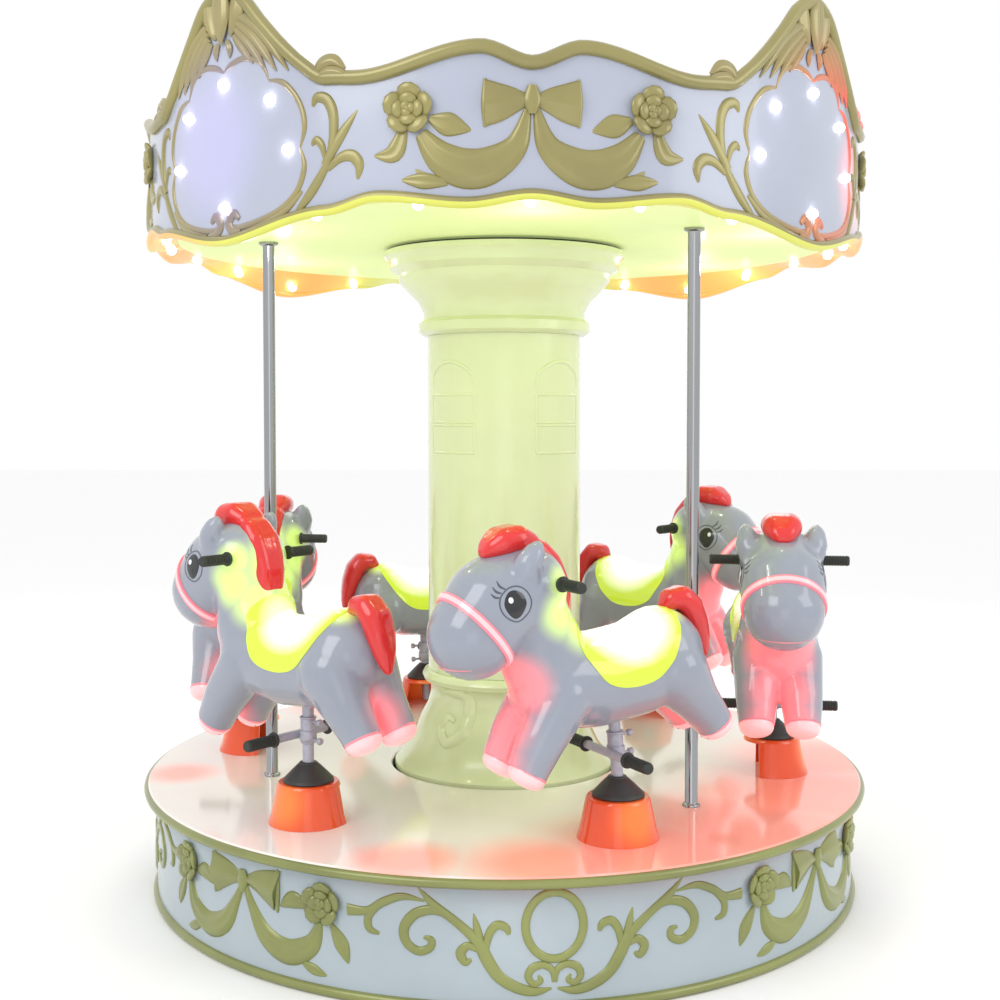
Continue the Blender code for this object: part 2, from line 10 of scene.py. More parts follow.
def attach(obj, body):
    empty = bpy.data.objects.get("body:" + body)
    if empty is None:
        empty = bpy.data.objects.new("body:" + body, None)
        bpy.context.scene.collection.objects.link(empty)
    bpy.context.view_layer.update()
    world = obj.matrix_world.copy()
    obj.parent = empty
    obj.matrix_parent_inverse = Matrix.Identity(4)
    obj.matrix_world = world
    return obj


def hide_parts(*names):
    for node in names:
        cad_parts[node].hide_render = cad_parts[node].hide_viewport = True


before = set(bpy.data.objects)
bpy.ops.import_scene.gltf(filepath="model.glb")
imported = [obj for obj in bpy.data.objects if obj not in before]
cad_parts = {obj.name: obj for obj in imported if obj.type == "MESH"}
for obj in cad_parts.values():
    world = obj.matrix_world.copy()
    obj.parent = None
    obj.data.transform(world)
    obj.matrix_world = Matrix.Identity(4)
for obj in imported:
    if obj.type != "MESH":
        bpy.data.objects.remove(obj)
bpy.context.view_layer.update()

# The studio: a plain pale floor under soft light from four wide lamps, and six small ones under the
# canopy for the glow of its bulbs. The camera stands in front of the ride at the height of a
# grown-up's eyes and looks slightly down.
camera = bpy.data.objects.new("camera", bpy.data.cameras.new("camera"))
bpy.context.collection.objects.link(camera)
camera.location = (0.0, -4.393, 1.4945)
camera.rotation_euler = (math.radians(90) - 0.04, 0.0, 0.0031)
camera.data.lens = 48.29
camera.data.sensor_width = 36.0
camera.data.shift_y = -0.0344
bpy.context.scene.camera = camera
bpy.context.scene.view_settings.view_transform = "Standard"


def net(name, points, faces):
    """A mesh from its points and faces."""
    mesh = bpy.data.meshes.new(name)
    mesh.from_pydata(points, [], faces)
    return mesh


def shader_of(paint):
    """The surface shader of a paint."""
    return paint.node_tree.nodes["Principled BSDF"]


def around(radius, azimuth, height):
    """A point at a radius, an azimuth in degrees from the front and a height."""
    angle = math.radians(azimuth)
    return Vector((radius * math.sin(angle), -radius * math.cos(angle), height))


def hung_lamp(name, kind, spot, watts):
    """Hang a studio lamp at a spot."""
    lamp = bpy.data.objects.new(name, bpy.data.lights.new(name, kind))
    bpy.context.collection.objects.link(lamp)
    lamp.data.energy = watts
    lamp.location = spot
    return lamp


FLOOR_REACH = 30
floor_mesh = net("floor", [(-FLOOR_REACH, -FLOOR_REACH, 0), (FLOOR_REACH, -FLOOR_REACH, 0),
                           (FLOOR_REACH, FLOOR_REACH, 0), (-FLOOR_REACH, FLOOR_REACH, 0)], [(0, 1, 2, 3)])
floor = bpy.data.objects.new("floor", floor_mesh)
bpy.context.collection.objects.link(floor)
floor_paint = bpy.data.materials.new("pale floor")
floor_paint.use_nodes = True
shader_of(floor_paint).inputs["Base Color"].default_value = (0.96, 0.96, 0.96, 1)
shader_of(floor_paint).inputs["Roughness"].default_value = 0.7
floor_mesh.materials.append(floor_paint)

sky = bpy.data.worlds.new("studio")
bpy.context.scene.world = sky
sky.use_nodes = True
sky.node_tree.nodes["Background"].inputs["Color"].default_value = (1.0, 1.0, 1.0, 1.0)
sky.node_tree.nodes["Background"].inputs["Strength"].default_value = 1.0
LIT_POINT = Vector((0, 0, 1.1))
for name, spot, size, watts in (("key", (-3.2, -4.2, 4.6), 3.0, 95.0), ("side", (4.4, -2.6, 3.2), 2.6, 45.0),
                                ("back", (0.5, 4.5, 4.2), 3.0, 40.0), ("low", (0.0, -5.5, 0.9), 2.0, 8.0)):
    lamp = hung_lamp(name, "AREA", spot, watts)
    lamp.data.size = size
    lamp.rotation_euler = (LIT_POINT - Vector(spot)).to_track_quat("-Z", "Y").to_euler()
for azimuth in range(5, 365, 60):
    lamp = hung_lamp("canopy_light", "POINT", around(0.86, azimuth, 1.90), 0.9)
    lamp.data.shadow_soft_size = 0.03
    lamp.data.color = (1.0, 1.0, 0.94)


# The steel under the ride: a welded hub with beams across the floor, and the turntable on it.
# Both are sprayed dark grey, with a slightly rough coat over the welds.
def fresh_paint(name):
    """A new paint with its nodes, links and shader, and the place of each point on the piece."""
    paint = bpy.data.materials.new(name)
    paint.use_nodes = True
    nodes = paint.node_tree.nodes
    where = nodes.new("ShaderNodeTexCoord")
    where.name = "where"
    return paint, nodes, paint.node_tree.links, nodes["Principled BSDF"], where.outputs["Object"]


def sprayed_steel(name, colour):
    """Sprayed paint on steel, uneven in tone and slightly rough."""
    steel, nodes, links, shader, where = fresh_paint(name)
    spray = nodes.new("ShaderNodeTexNoise")
    spray.inputs["Scale"].default_value = 90.0
    tone = nodes.new("ShaderNodeValToRGB")
    tone.color_ramp.elements[0].color = (*(0.8 * part for part in colour), 1)
    tone.color_ramp.elements[1].color = (*(1.15 * part for part in colour), 1)
    bump = nodes.new("ShaderNodeBump")
    bump.inputs["Strength"].default_value = 0.25
    bump.inputs["Distance"].default_value = 0.0006
    links.new(where, spray.inputs["Vector"])
    links.new(spray.outputs["Fac"], tone.inputs["Fac"])
    links.new(tone.outputs["Color"], shader.inputs["Base Color"])
    links.new(spray.outputs["Fac"], bump.inputs["Height"])
    links.new(bump.outputs["Normal"], shader.inputs["Normal"])
    shader.inputs["Roughness"].default_value = 0.45
    shader.inputs["Metallic"].default_value = 0.3
    return steel


def repaint(node_name, paint):
    """Give a CAD piece whose shape stays another paint."""
    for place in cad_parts[node_name].material_slots:
        place.material = paint


frame_grey = sprayed_steel("frame grey", (0.10, 0.105, 0.115))
repaint("base_frame", frame_grey)
repaint("turntable", frame_grey)


# The skirt: the round side wall of the base, laid up in fibreglass with a pale blue-white gelcoat.
# It is one tall hoop with a round gold bead along its foot, screwed to the ends of the beams.
WALL = 1.112


def hoop(name, outline, segments, closed=True):
    """Turn a (radius, height) outline about the middle of the ride."""
    count = len(outline)
    points = [around(radius, 360.0 * step / segments, height)
              for step in range(segments) for radius, height in outline]
    faces = []
    for step in range(segments):
        here = step * count
        there = (step + 1) % segments * count
        for point in range(count if closed else count - 1):
            after = (point + 1) % count
            faces.append((here + point, here + after, there + after, there + point))
    return net(name, points, faces)


def face_outwards(mesh):
    """Turn every face of a mesh to look outwards."""
    shape = bmesh.new()
    shape.from_mesh(mesh)
    bmesh.ops.recalc_face_normals(shape, faces=shape.faces)
    shape.to_mesh(mesh)
    shape.free()


def fit(name, mesh, paint, body, crease, frame_of=None):
    """Put a moulding on the ride, facing outwards and shaded smooth, and fix it to its body."""
    face_outwards(mesh)
    if not mesh.materials:
        mesh.materials.append(paint)
    mesh.shade_smooth()
    mesh.set_sharp_from_angle(angle=math.radians(crease))
    piece = bpy.data.objects.new(name, mesh)
    bpy.context.collection.objects.link(piece)
    if frame_of is not None:
        piece.matrix_world = frame_of
    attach(piece, body)
    return piece


def turned(name, outline, segments, paint, body, crease=40.0):
    """A moulding turned about the middle of the ride and fixed in its place."""
    return fit(name, hoop(name, outline, segments), paint, body, crease)


def gelcoat(name, colour, roughness=0.2, mottle=0.05, peel=0.35):
    """Glossy moulded colour, faintly cloudy, with orange peel and uneven polish."""
    coat, nodes, links, shader, where = fresh_paint(name)
    cloud = nodes.new("ShaderNodeTexNoise")
    cloud.inputs["Scale"].default_value = 3.0
    cloud.inputs["Detail"].default_value = 4.0
    tone = nodes.new("ShaderNodeValToRGB")
    tone.color_ramp.elements[0].position = 0.3
    tone.color_ramp.elements[1].position = 0.7
    tone.color_ramp.elements[0].color = (*(part * (1 - mottle) for part in colour), 1)
    tone.color_ramp.elements[1].color = (*(min(1.0, part * (1 + mottle)) for part in colour), 1)
    grain = nodes.new("ShaderNodeTexNoise")
    grain.inputs["Scale"].default_value = 220.0
    polish = nodes.new("ShaderNodeMapRange")
    polish.inputs["To Min"].default_value = roughness * 0.8
    polish.inputs["To Max"].default_value = roughness * 1.3
    bump = nodes.new("ShaderNodeBump")
    bump.inputs["Strength"].default_value = peel
    bump.inputs["Distance"].default_value = 0.0002
    links.new(where, cloud.inputs["Vector"])
    links.new(where, grain.inputs["Vector"])
    links.new(cloud.outputs["Fac"], tone.inputs["Fac"])
    links.new(tone.outputs["Color"], shader.inputs["Base Color"])
    links.new(cloud.outputs["Fac"], polish.inputs["Value"])
    links.new(polish.outputs["Result"], shader.inputs["Roughness"])
    links.new(grain.outputs["Fac"], bump.inputs["Height"])
    links.new(bump.outputs["Normal"], shader.inputs["Normal"])
    shader.inputs["Coat Weight"].default_value = 0.4
    shader.inputs["Coat Roughness"].default_value = 0.08
    return coat


def old_gold(name, colour, roughness, mottle):
    """Gold lacquer: a coloured coat with a little metal in it."""
    gold = gelcoat(name, colour, roughness, mottle)
    shader_of(gold).inputs["Metallic"].default_value = 0.25
    return gold


def round_bead(name, radius, height, thick, paint, body):
    """A round bead laid along a circle of the ride."""
    outline = []
    for step in range(0, 360, 30):
        angle = math.radians(step)
        outline.append((radius + thick * math.cos(angle), height + thick * math.sin(angle)))
    return turned(name, outline, 192, paint, body, 80.0)


SKIRT_OUTLINE = ((1.097, 0.004), (WALL, 0.004), (WALL, 0.308), (WALL - 0.002, 0.310), (1.057, 0.310),
                 (1.057, 0.295), (1.097, 0.295))
skirt_white = gelcoat("skirt blue-white", (0.375, 0.44, 0.48), 0.22)
skirt = turned("skirt_wall", SKIRT_OUTLINE, 192, skirt_white, "base", 50.0)
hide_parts("base_skirt")

# Old gold lacquer, with a green tint that is painted reflected light; it is used for the deck's edge bead
# too.
skirt_gold = old_gold("skirt old gold", (0.235, 0.255, 0.078), 0.32, 0.18)
round_bead("skirt_foot_bead", WALL, 0.0135, 0.0132, skirt_gold, "base")


# The leafwork on the skirt: cast ovals, scrolling branches, roses and bowed swags, lacquered old
# gold and glued on. The set repeats every quarter turn and mirrors about each oval.
SKIRT_AXIS = 6.5


def smooth_run(points, closed=False, density=7):
    """Soft curve through points of any length, as a list of tuples."""
    count = len(points)
    spans = count if closed else count - 1
    out = []
    for span in range(spans):
        four = []
        for shift in (-1, 0, 1, 2):
            index = span + shift
            index = index % count if closed else min(max(index, 0), count - 1)
            four.append(points[index])
        for step in range(density):
            t = step / density
            out.append(tuple(
                0.5 * (2 * b + (c - a) * t + (2 * a - 5 * b + 4 * c - d) * t * t
                       + (3 * b - a - 3 * c + d) * t ** 3)
                for a, b, c, d in zip(*four)))
    if not closed:
        out.append(points[-1])
    return out


def join_rings(shape, rings, endless=False, round_about=False):
    """Close a skin between rings of points. It may join the last ring to the first (endless),
    and each ring's last point to its first (round_about)."""
    for here, there in zip(rings, rings[1:] + rings[:1] if endless else rings[1:]):
        count = len(here)
        for step in range(count if round_about else count - 1):
            after = (step + 1) % count
            shape.faces.new((here[step], here[after], there[after], there[step]))


def out_of_mould(name, shape):
    """A finished shape as a mesh."""
    mesh = bpy.data.meshes.new(name)
    shape.to_mesh(mesh)
    shape.free()
    return mesh


def swung(run, middle, side=1):
    """A run of (azimuth, height, half width) points beside a middle, or mirrored about it."""
    return [(middle + side * azimuth, height, width) for azimuth, height, width in run]


def carved_strand(shape, run, wall, folds=0, vein=0.0, closed=False):
    """Raised strand along (azimuth, height, half width) points on a wall of a radius, which may
    depend on the height."""
    path = smooth_run(run, closed)
    spots = [around(wall(height) if callable(wall) else wall, azimuth, height)
             for azimuth, height, width in path]
    rings = []
    last = len(spots) - 1
    for index, spot in enumerate(spots):
        before = spots[index - 1] if index or closed else spot
        after = spots[(index + 1) % len(spots)] if index < last or closed else spot
        out = Vector((spot.x, spot.y, 0)).normalized()
        across = (after - before).normalized().cross(out).normalized()
        width = max(path[index][2], 0.0006)
        ring = []
        for step in range(11):
            angle = math.pi * step / 10
            rise = math.sin(angle) * (1 - vein * math.sin(angle) ** 10)
            rise *= 1 + 0.24 * math.cos(2 * folds * angle) if folds else 1
            high = min(0.8 * width, 0.006 + 0.22 * width)
            corner = spot + across * width * math.cos(angle) + out * (high * rise - 0.002)
            ring.append(shape.verts.new(corner))
        rings.append(ring)
    join_rings(shape, rings, endless=closed)
    if not closed:
        shape.faces.new(rings[0])
        shape.faces.new(rings[-1])


def carved_rose(shape, azimuth, height, size, wall):
    """Open rose: five outer petals, four inner ones, three more round a tight heart."""
    spot = around(wall, azimuth, height)
    out = Vector((spot.x, spot.y, 0)).normalized()
    side = out.cross(Vector((0, 0, 1))).normalized()
    turn = Matrix((side, Vector((0, 0, 1)), out)).transposed().to_4x4()
    for count, reach, petal, lift, start in ((5, 0.62, 0.46, 0.10, 20), (4, 0.34, 0.34, 0.22, 0),
                                             (3, 0.14, 0.2, 0.32, 50)):
        for index in range(count):
            angle = math.radians(start + 360 * index / count)
            foot = Vector((reach * size * math.cos(angle), reach * size * math.sin(angle),
                           lift * size * 0.55))
            place = Matrix.Translation(spot + turn.to_3x3() @ foot)
            tilt = Matrix.Rotation(angle, 4, "Z") @ Matrix.Rotation(math.radians(-28), 4, "Y")
            scale = Matrix.Diagonal((petal * size, petal * size * 1.12, 0.17 * size, 1))
            bmesh.ops.create_icosphere(shape, subdivisions=2, radius=1.0, matrix=place @ turn @ tilt @ scale)
    heart = Matrix.Translation(spot + out * 0.24 * size) @ Matrix.Scale(0.13 * size, 4)
    bmesh.ops.create_icosphere(shape, subdivisions=2, radius=1.0, matrix=heart)


def carved_bow(shape, bow, roll):
    """Half a bow: its loop, which widens outwards, and the rolled edge at the loop's end."""
    carved_strand(shape, bow, WALL, folds=2)
    azimuth, height, width = bow[-1]
    edge = [(azimuth, height + rise, thick) for rise, thick in ((-width, 0.004), (0, roll), (width, 0.004))]
    carved_strand(shape, edge, WALL + 0.003)


SKIRT_BRANCHES = (
    ((0.4, 0.060, 0.004), (2.6, 0.053, 0.012), (4.9, 0.064, 0.015), (7.2, 0.092, 0.016), (8.7, 0.135, 0.017),
     (9.7, 0.175, 0.016), (11.4, 0.207, 0.013), (13.4, 0.238, 0.012), (15.6, 0.268, 0.012),
      (17.8, 0.312, 0.002)),
    ((0.2, 0.075, 0.004), (0.3, 0.105, 0.009), (1.5, 0.120, 0.010), (2.9, 0.112, 0.011), (3.4, 0.090, 0.010),
     (2.7, 0.072, 0.009), (1.8, 0.080, 0.008), (2.1, 0.094, 0.004)),
    ((8.9, 0.150, 0.008), (8.5, 0.195, 0.011), (7.5, 0.221, 0.012), (6.3, 0.216, 0.011), (5.9, 0.198, 0.006)),
    ((9.5, 0.165, 0.013), (10.0, 0.215, 0.010), (10.5, 0.258, 0.001)),
    ((9.6, 0.155, 0.007), (11.1, 0.168, 0.011), (12.1, 0.149, 0.013), (11.5, 0.127, 0.011),
     (10.7, 0.134, 0.005)),
    ((13.0, 0.234, 0.006), (15.5, 0.254, 0.012), (18.0, 0.242, 0.014), (19.5, 0.205, 0.014),
     (19.2, 0.168, 0.013),
     (17.6, 0.148, 0.012), (16.1, 0.158, 0.011), (15.9, 0.178, 0.010), (16.9, 0.184, 0.005)),
    ((16.8, 0.276, 0.004), (19.8, 0.283, 0.010), (22.4, 0.264, 0.012), (24.6, 0.238, 0.011),
     (27.4, 0.234, 0.016)),
    ((22.8, 0.255, 0.007), (24.4, 0.224, 0.011), (24.3, 0.193, 0.011), (22.9, 0.183, 0.005)))
SKIRT_LEAVES = (
    ((33.6, 0.222, 0.008), (36.0, 0.232, 0.024), (38.3, 0.205, 0.002)),
    ((29.9, 0.190, 0.006), (28.3, 0.140, 0.022), (27.2, 0.088, 0.001)),
    ((34.8, 0.078, 0.004), (32.6, 0.062, 0.015), (30.2, 0.050, 0.001)))
SKIRT_SWAG = ((31.6, 0.190, 0.010), (33.0, 0.125, 0.028), (36.8, 0.092, 0.036), (40.8, 0.120, 0.031),
              (43.4, 0.190, 0.016), (44.8, 0.245, 0.008))
SKIRT_BOW = ((0.3, 0.252, 0.010), (2.6, 0.256, 0.030), (4.8, 0.252, 0.046), (6.4, 0.246, 0.056))
SKIRT_KNOT = ((0.0, 0.222, 0.010), (0.0, 0.252, 0.020), (0.0, 0.280, 0.010))
OVAL = [(3.75 * math.sin(math.radians(step)), 0.2185 + 0.084 * math.cos(math.radians(step)), 0.0115)
        for step in range(0, 360, 20)]

skirt_cast = bmesh.new()
for quarter in range(4):
    middle = SKIRT_AXIS + 90 * quarter
    carved_strand(skirt_cast, swung(OVAL, middle), WALL, closed=True)
    for side in (1, -1):
        for run in SKIRT_BRANCHES:
            carved_strand(skirt_cast, swung(run, middle, side), WALL, vein=0.12)
        for run in SKIRT_LEAVES:
            carved_strand(skirt_cast, swung(run, middle, side), WALL, vein=0.45)
        carved_strand(skirt_cast, swung(SKIRT_SWAG, middle, side), WALL, folds=3)
        carved_rose(skirt_cast, middle + side * 31.2, 0.240, 0.056, WALL + 0.002)
    for side in (1, -1):
        carved_bow(skirt_cast, swung(SKIRT_BOW, middle + 45, side), 0.009)
    carved_strand(skirt_cast, swung(SKIRT_KNOT, middle + 45), WALL + 0.006)
fit("skirt_leafwork", out_of_mould("skirt_leafwork", skirt_cast), skirt_gold, "base", 60.0)


# The centre column: a turned foot with cast scrolls, a round shaft with arched panels in thin
# relief, and a stepped capital under a black ring, which is painted shade for the dark gap under the
# turning ceiling. All but the ring is cream fibreglass; the yellow-green light of the canopy is painted
# into its colour as a tint and a faint glow. The column stands on the fixed hub.
FOOT_OUTLINE = ((0.228, 0.660), (0.250, 0.6585), (0.262, 0.652), (0.268, 0.638), (0.262, 0.624),
                (0.246, 0.616), (0.2405, 0.600), (0.240, 0.585), (0.250, 0.545), (0.272, 0.505),
                (0.290, 0.455), (0.314, 0.405), (0.346, 0.368), (0.358, 0.358), (0.3585, 0.349),
                (0.358, 0.340))
CAPITAL_OUTLINE = ((0.262, 1.7405), (0.278, 1.752), (0.278, 1.780), (0.262, 1.792), (0.262, 1.815),
                   (0.280, 1.850), (0.312, 1.882), (0.340, 1.912), (0.345, 1.935), (0.372, 1.955),
                   (0.376, 1.978), (0.389, 1.992), (0.389, 2.008))
COLUMN_BORE = 0.150


def glowing(coat, glow, strength):
    """Light a coat from within, all over alike."""
    shader_of(coat).inputs["Emission Color"].default_value = (*glow, 1)
    shader_of(coat).inputs["Emission Strength"].default_value = strength
    return coat


def painted_light_from(coat, lamps, glow, strength, mirrored=False):
    """Paint the light of nearby lamps into a coat, as a tint and a glow: each lamp is a centre and a
    reach in metres, which may count for both sides of a pony (mirrored)."""
    nodes = coat.node_tree.nodes
    links = coat.node_tree.links
    shader = shader_of(coat)
    spot = nodes["where"].outputs["Object"]
    if mirrored:
        fold = nodes.new("ShaderNodeVectorMath")
        fold.operation = "ABSOLUTE"
        apart = nodes.new("ShaderNodeSeparateXYZ")
        whole = nodes.new("ShaderNodeSeparateXYZ")
        again = nodes.new("ShaderNodeCombineXYZ")
        links.new(spot, fold.inputs[0])
        links.new(fold.outputs[0], apart.inputs[0])
        links.new(spot, whole.inputs[0])
        links.new(whole.outputs["X"], again.inputs["X"])
        links.new(apart.outputs["Y"], again.inputs["Y"])
        links.new(whole.outputs["Z"], again.inputs["Z"])
        spot = again.outputs[0]
    total = None
    for centre, reach in lamps:
        far = nodes.new("ShaderNodeVectorMath")
        far.operation = "DISTANCE"
        far.inputs[1].default_value = centre
        fade = nodes.new("ShaderNodeMapRange")
        fade.interpolation_type = "SMOOTHSTEP"
        fade.inputs["From Min"].default_value = reach
        fade.inputs["From Max"].default_value = reach * 0.25
        links.new(spot, far.inputs[0])
        links.new(far.outputs["Value"], fade.inputs["Value"])
        if total is None:
            total = fade.outputs["Result"]
        else:
            most = nodes.new("ShaderNodeMath")
            most.operation = "MAXIMUM"
            links.new(total, most.inputs[0])
            links.new(fade.outputs["Result"], most.inputs[1])
            total = most.outputs[0]
    now = shader.inputs["Base Color"].links[0].from_socket
    mix = nodes.new("ShaderNodeMix")
    mix.data_type = "RGBA"
    links.new(total, mix.inputs["Factor"])
    links.new(now, mix.inputs["A"])
    mix.inputs["B"].default_value = (*glow, 1)
    links.new(mix.outputs["Result"], shader.inputs["Base Color"])
    emission = shader.inputs["Emission Color"]
    shine = nodes.new("ShaderNodeMix")
    shine.data_type = "RGBA"
    links.new(total, shine.inputs["Factor"])
    if emission.links:
        links.new(emission.links[0].from_socket, shine.inputs["A"])
    elif shader.inputs["Emission Strength"].default_value:
        shine.inputs["A"].default_value = tuple(emission.default_value)
    else:
        shine.inputs["A"].default_value = (0, 0, 0, 1)
    shine.inputs["B"].default_value = (*glow, 1)
    links.new(shine.outputs["Result"], emission)
    shader.inputs["Emission Strength"].default_value = strength
    return coat


# Painted light: the column's cream is tinted yellow-green and glows faintly, for the canopy's light on it.
cream = glowing(gelcoat("column cream", (0.64, 0.70, 0.42), 0.2), (0.72, 0.92, 0.42), 0.06)
foot_outline = FOOT_OUTLINE + ((COLUMN_BORE, 0.340), (COLUMN_BORE, 0.660))
foot = turned("column_foot_moulding", foot_outline, 96, cream, "base")
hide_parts("column_foot")
shaft_outline = ((COLUMN_BORE, 0.6603), (0.248, 0.6603), (0.248, 1.740), (COLUMN_BORE, 1.740))
shaft = turned("column_tube", shaft_outline, 96, cream, "base")
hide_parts("column_shaft")
capital_outline = CAPITAL_OUTLINE + ((COLUMN_BORE, 2.008), (COLUMN_BORE, 1.7405))
capital = turned("column_capital_moulding", capital_outline, 96, cream, "base")
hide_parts("column_capital")
# A black ring in the gap between the capital and the ceiling: painted shade for the dark running gap.
gap_shade_outline = ((0.340, 2.0078), (0.380, 2.0078), (0.380, 2.0140), (0.340, 2.0140))
gap_shade_black = sprayed_steel("gap shade black", (0.02, 0.022, 0.02))
turned("column_head_gap_shade", gap_shade_outline, 96, gap_shade_black, "base")

COLUMN_AXIS = 45.75
PANEL_WALL = 0.2485
PANEL_HALF = 22.0
PANEL_ARCH = ((-22, 1.575, 0.003), (-20, 1.615, 0.006), (-9, 1.645, 0.007), (0, 1.652, 0.007),
              (9, 1.645, 0.007), (20, 1.615, 0.006), (22, 1.575, 0.003))
FOOT_SCROLL = ((-7, 0.604, 0.008), (3, 0.612, 0.018), (13, 0.606, 0.022), (18.5, 0.565, 0.023),
               (16.5, 0.490, 0.023), (6, 0.452, 0.022), (-1.5, 0.488, 0.018), (1.5, 0.526, 0.015),
               (8, 0.520, 0.009))


def foot_wall(height):
    """Radius of the column's foot at a height."""
    for (wide, high), (wider, low) in zip(FOOT_OUTLINE, FOOT_OUTLINE[1:]):
        if low <= height <= high:
            return wide + (wider - wide) * (high - height) / (high - low)
    return FOOT_OUTLINE[-1][0]


def straight_run(start, end, width):
    """A run of even width between two (azimuth, height) corners."""
    run = []
    steps = 6
    for step in range(steps + 1):
        azimuth = start[0] + (end[0] - start[0]) * step / steps
        run.append((azimuth, start[1] + (end[1] - start[1]) * step / steps, width))
    return run


column_cast = bmesh.new()
for quarter in range(4):
    middle = COLUMN_AXIS + 90 * quarter
    for low, high in ((1.366, 1.452), (1.462, 1.548)):
        lower_left, lower_right = (-PANEL_HALF, low), (PANEL_HALF, low)
        upper_left, upper_right = (-PANEL_HALF, high), (PANEL_HALF, high)
        for start, end in ((lower_left, lower_right), (upper_left, upper_right), (lower_left, upper_left),
                           (lower_right, upper_right)):
            carved_strand(column_cast, swung(straight_run(start, end, 0.0045), middle), PANEL_WALL)
    carved_strand(column_cast, swung(PANEL_ARCH, middle), PANEL_WALL)
    carved_strand(column_cast, swung(FOOT_SCROLL, middle), foot_wall, folds=2)
fit("column_relief", out_of_mould("column_relief", column_cast), cream, "base", 60.0)


# The turning deck: one round glossy floor with a rolled gold edge, bolted down on the turntable's
# arms. The pink and orange light that the lamps under the ponies throw on it is painted on as pools.
DECK_TOP = 0.350
DECK_OUTLINE = ((0.368, 0.320), (1.137, 0.320), (1.139, 0.345), (1.134, DECK_TOP), (0.372, DECK_TOP),
                (0.368, 0.346))
DECK_LIGHT_POOLS = ((6, 0.30), (24, 0.48), (44, 0.58), (66, 0.56), (90, 0.42), (-14, 0.20), (-80, 0.16),
               (140, 0.35), (215, 0.35))
deck_white = gelcoat("deck white", (0.84, 0.81, 0.76), 0.10, 0.03)
# Painted light: pink-orange pools of light on the deck beside each pony, glowing a little.
painted_light_from(deck_white, [(around(1.04, azimuth, DECK_TOP), reach) for azimuth, reach in DECK_LIGHT_POOLS],
         (1.0, 0.36, 0.28), 0.10)
deck = turned("deck_floor", DECK_OUTLINE, 192, deck_white, "platform")
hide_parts("deck")
round_bead("deck_edge_bead", 1.138, 0.333, 0.0128, skirt_gold, "platform")


# The three poles: polished chrome tubes that carry the canopy, with a turned flange at the deck and
# at the canopy. Each flange steps in to the tube by a small shoulder.
def smeared_chrome(name):
    """Bright chrome, faintly hazed by fingers."""
    chrome, nodes, links, shader, where = fresh_paint(name)
    smear = nodes.new("ShaderNodeTexNoise")
    smear.inputs["Scale"].default_value = 25.0
    haze = nodes.new("ShaderNodeMapRange")
    haze.inputs["To Min"].default_value = 0.04
    haze.inputs["To Max"].default_value = 0.16
    links.new(where, smear.inputs["Vector"])
    links.new(smear.outputs["Fac"], haze.inputs["Value"])
    links.new(haze.outputs["Result"], shader.inputs["Roughness"])
    shader.inputs["Base Color"].default_value = (0.36, 0.37, 0.38, 1)
    shader.inputs["Metallic"].default_value = 1.0
    return chrome


def turned_rod(name, outline, segments):
    """A rod turned to (radius, height) steps from its foot up, closed at both ends."""
    mesh = hoop(name, outline, segments, closed=False)
    shape = bmesh.new()
    shape.from_mesh(mesh)
    bmesh.ops.holes_fill(shape, edges=[edge for edge in shape.edges if edge.is_boundary], sides=0)
    shape.to_mesh(mesh)
    shape.free()
    return mesh


POLE_CIRCLE = 0.760
FIRST_POLE = 45.7
POLE_STEPS = ((0.0255, 0.3503), (0.0255, 0.3550), (0.0240, 0.3575), (0.0200, 0.3590), (0.0185, 0.3620),
              (0.0185, 2.006), (0.0200, 2.009), (0.0280, 2.0117), (0.0300, 2.0135), (0.0300, 2.0197))
pole_chrome = smeared_chrome("pole chrome")
pole_mesh = turned_rod("pole_tube", POLE_STEPS, 40)
for number in (1, 2, 3):
    foot_of_pole = Matrix.Translation(around(POLE_CIRCLE, FIRST_POLE + 120 * (number - 1), 0.0))
    pole = fit(f"pole_tube_{number}", pole_mesh, pole_chrome, "platform", 40.0, foot_of_pole)
    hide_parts(f"pole_{number}")


# The canopy: a round cream ceiling under a plain white roof, and the crown round both. The crown is
# four long panels and four tall medallion boards with wavy edges, moulded in blue-white fibreglass
# and screwed on edge to edge. Below, they run in to the ceiling as a soffit. The yellow light on the
# soffit and the glow of the ceiling are painted light.
CROWN_AXIS = 3.5
PANEL_TOP = ((0.0, 2.357), (6.5, 2.397), (22.0, 2.336), (27.0, 2.342))
PANEL_BOTTOM = ((0.0, 2.010), (8.0, 1.990), (20.0, 2.012), (27.0, 1.985))
MEDALLION_TOP = ((0.0, 2.610), (3.5, 2.586), (7.5, 2.508), (11.0, 2.440), (14.5, 2.382), (18.0, 2.342))
MEDALLION_BOTTOM = ((0.0, 1.932), (18.0, 1.985))
PANEL_REACH = 27.0
MEDALLION_REACH = 18.0
CEILING = 2.020
CEILING_EDGE = 1.035
BOARD_BACK = 1.098
GLOW_CIRCLE = 1.11


def wavy(points, angle):
    """Height of a wavy edge at an angle from the middle of its board."""
    angle = min(abs(angle), points[-1][0])
    climbs = [(after[1] - here[1]) / (after[0] - here[0]) for here, after in zip(points, points[1:])]
    slopes = [0.0] + [2 * a * b / (a + b) if a * b > 0 else 0.0 for a, b in zip(climbs, climbs[1:])] + [0.0]
    for index in range(len(climbs)):
        (low, low_height), (high, high_height) = points[index], points[index + 1]
        if angle <= high:
            long = high - low
            t = (angle - low) / long
            return (low_height * (1 + 2 * t) * (1 - t) ** 2 + high_height * t * t * (3 - 2 * t)
                    + slopes[index] * long * t * (1 - t) ** 2 - slopes[index + 1] * long * t * t * (1 - t))
    return points[-1][1]


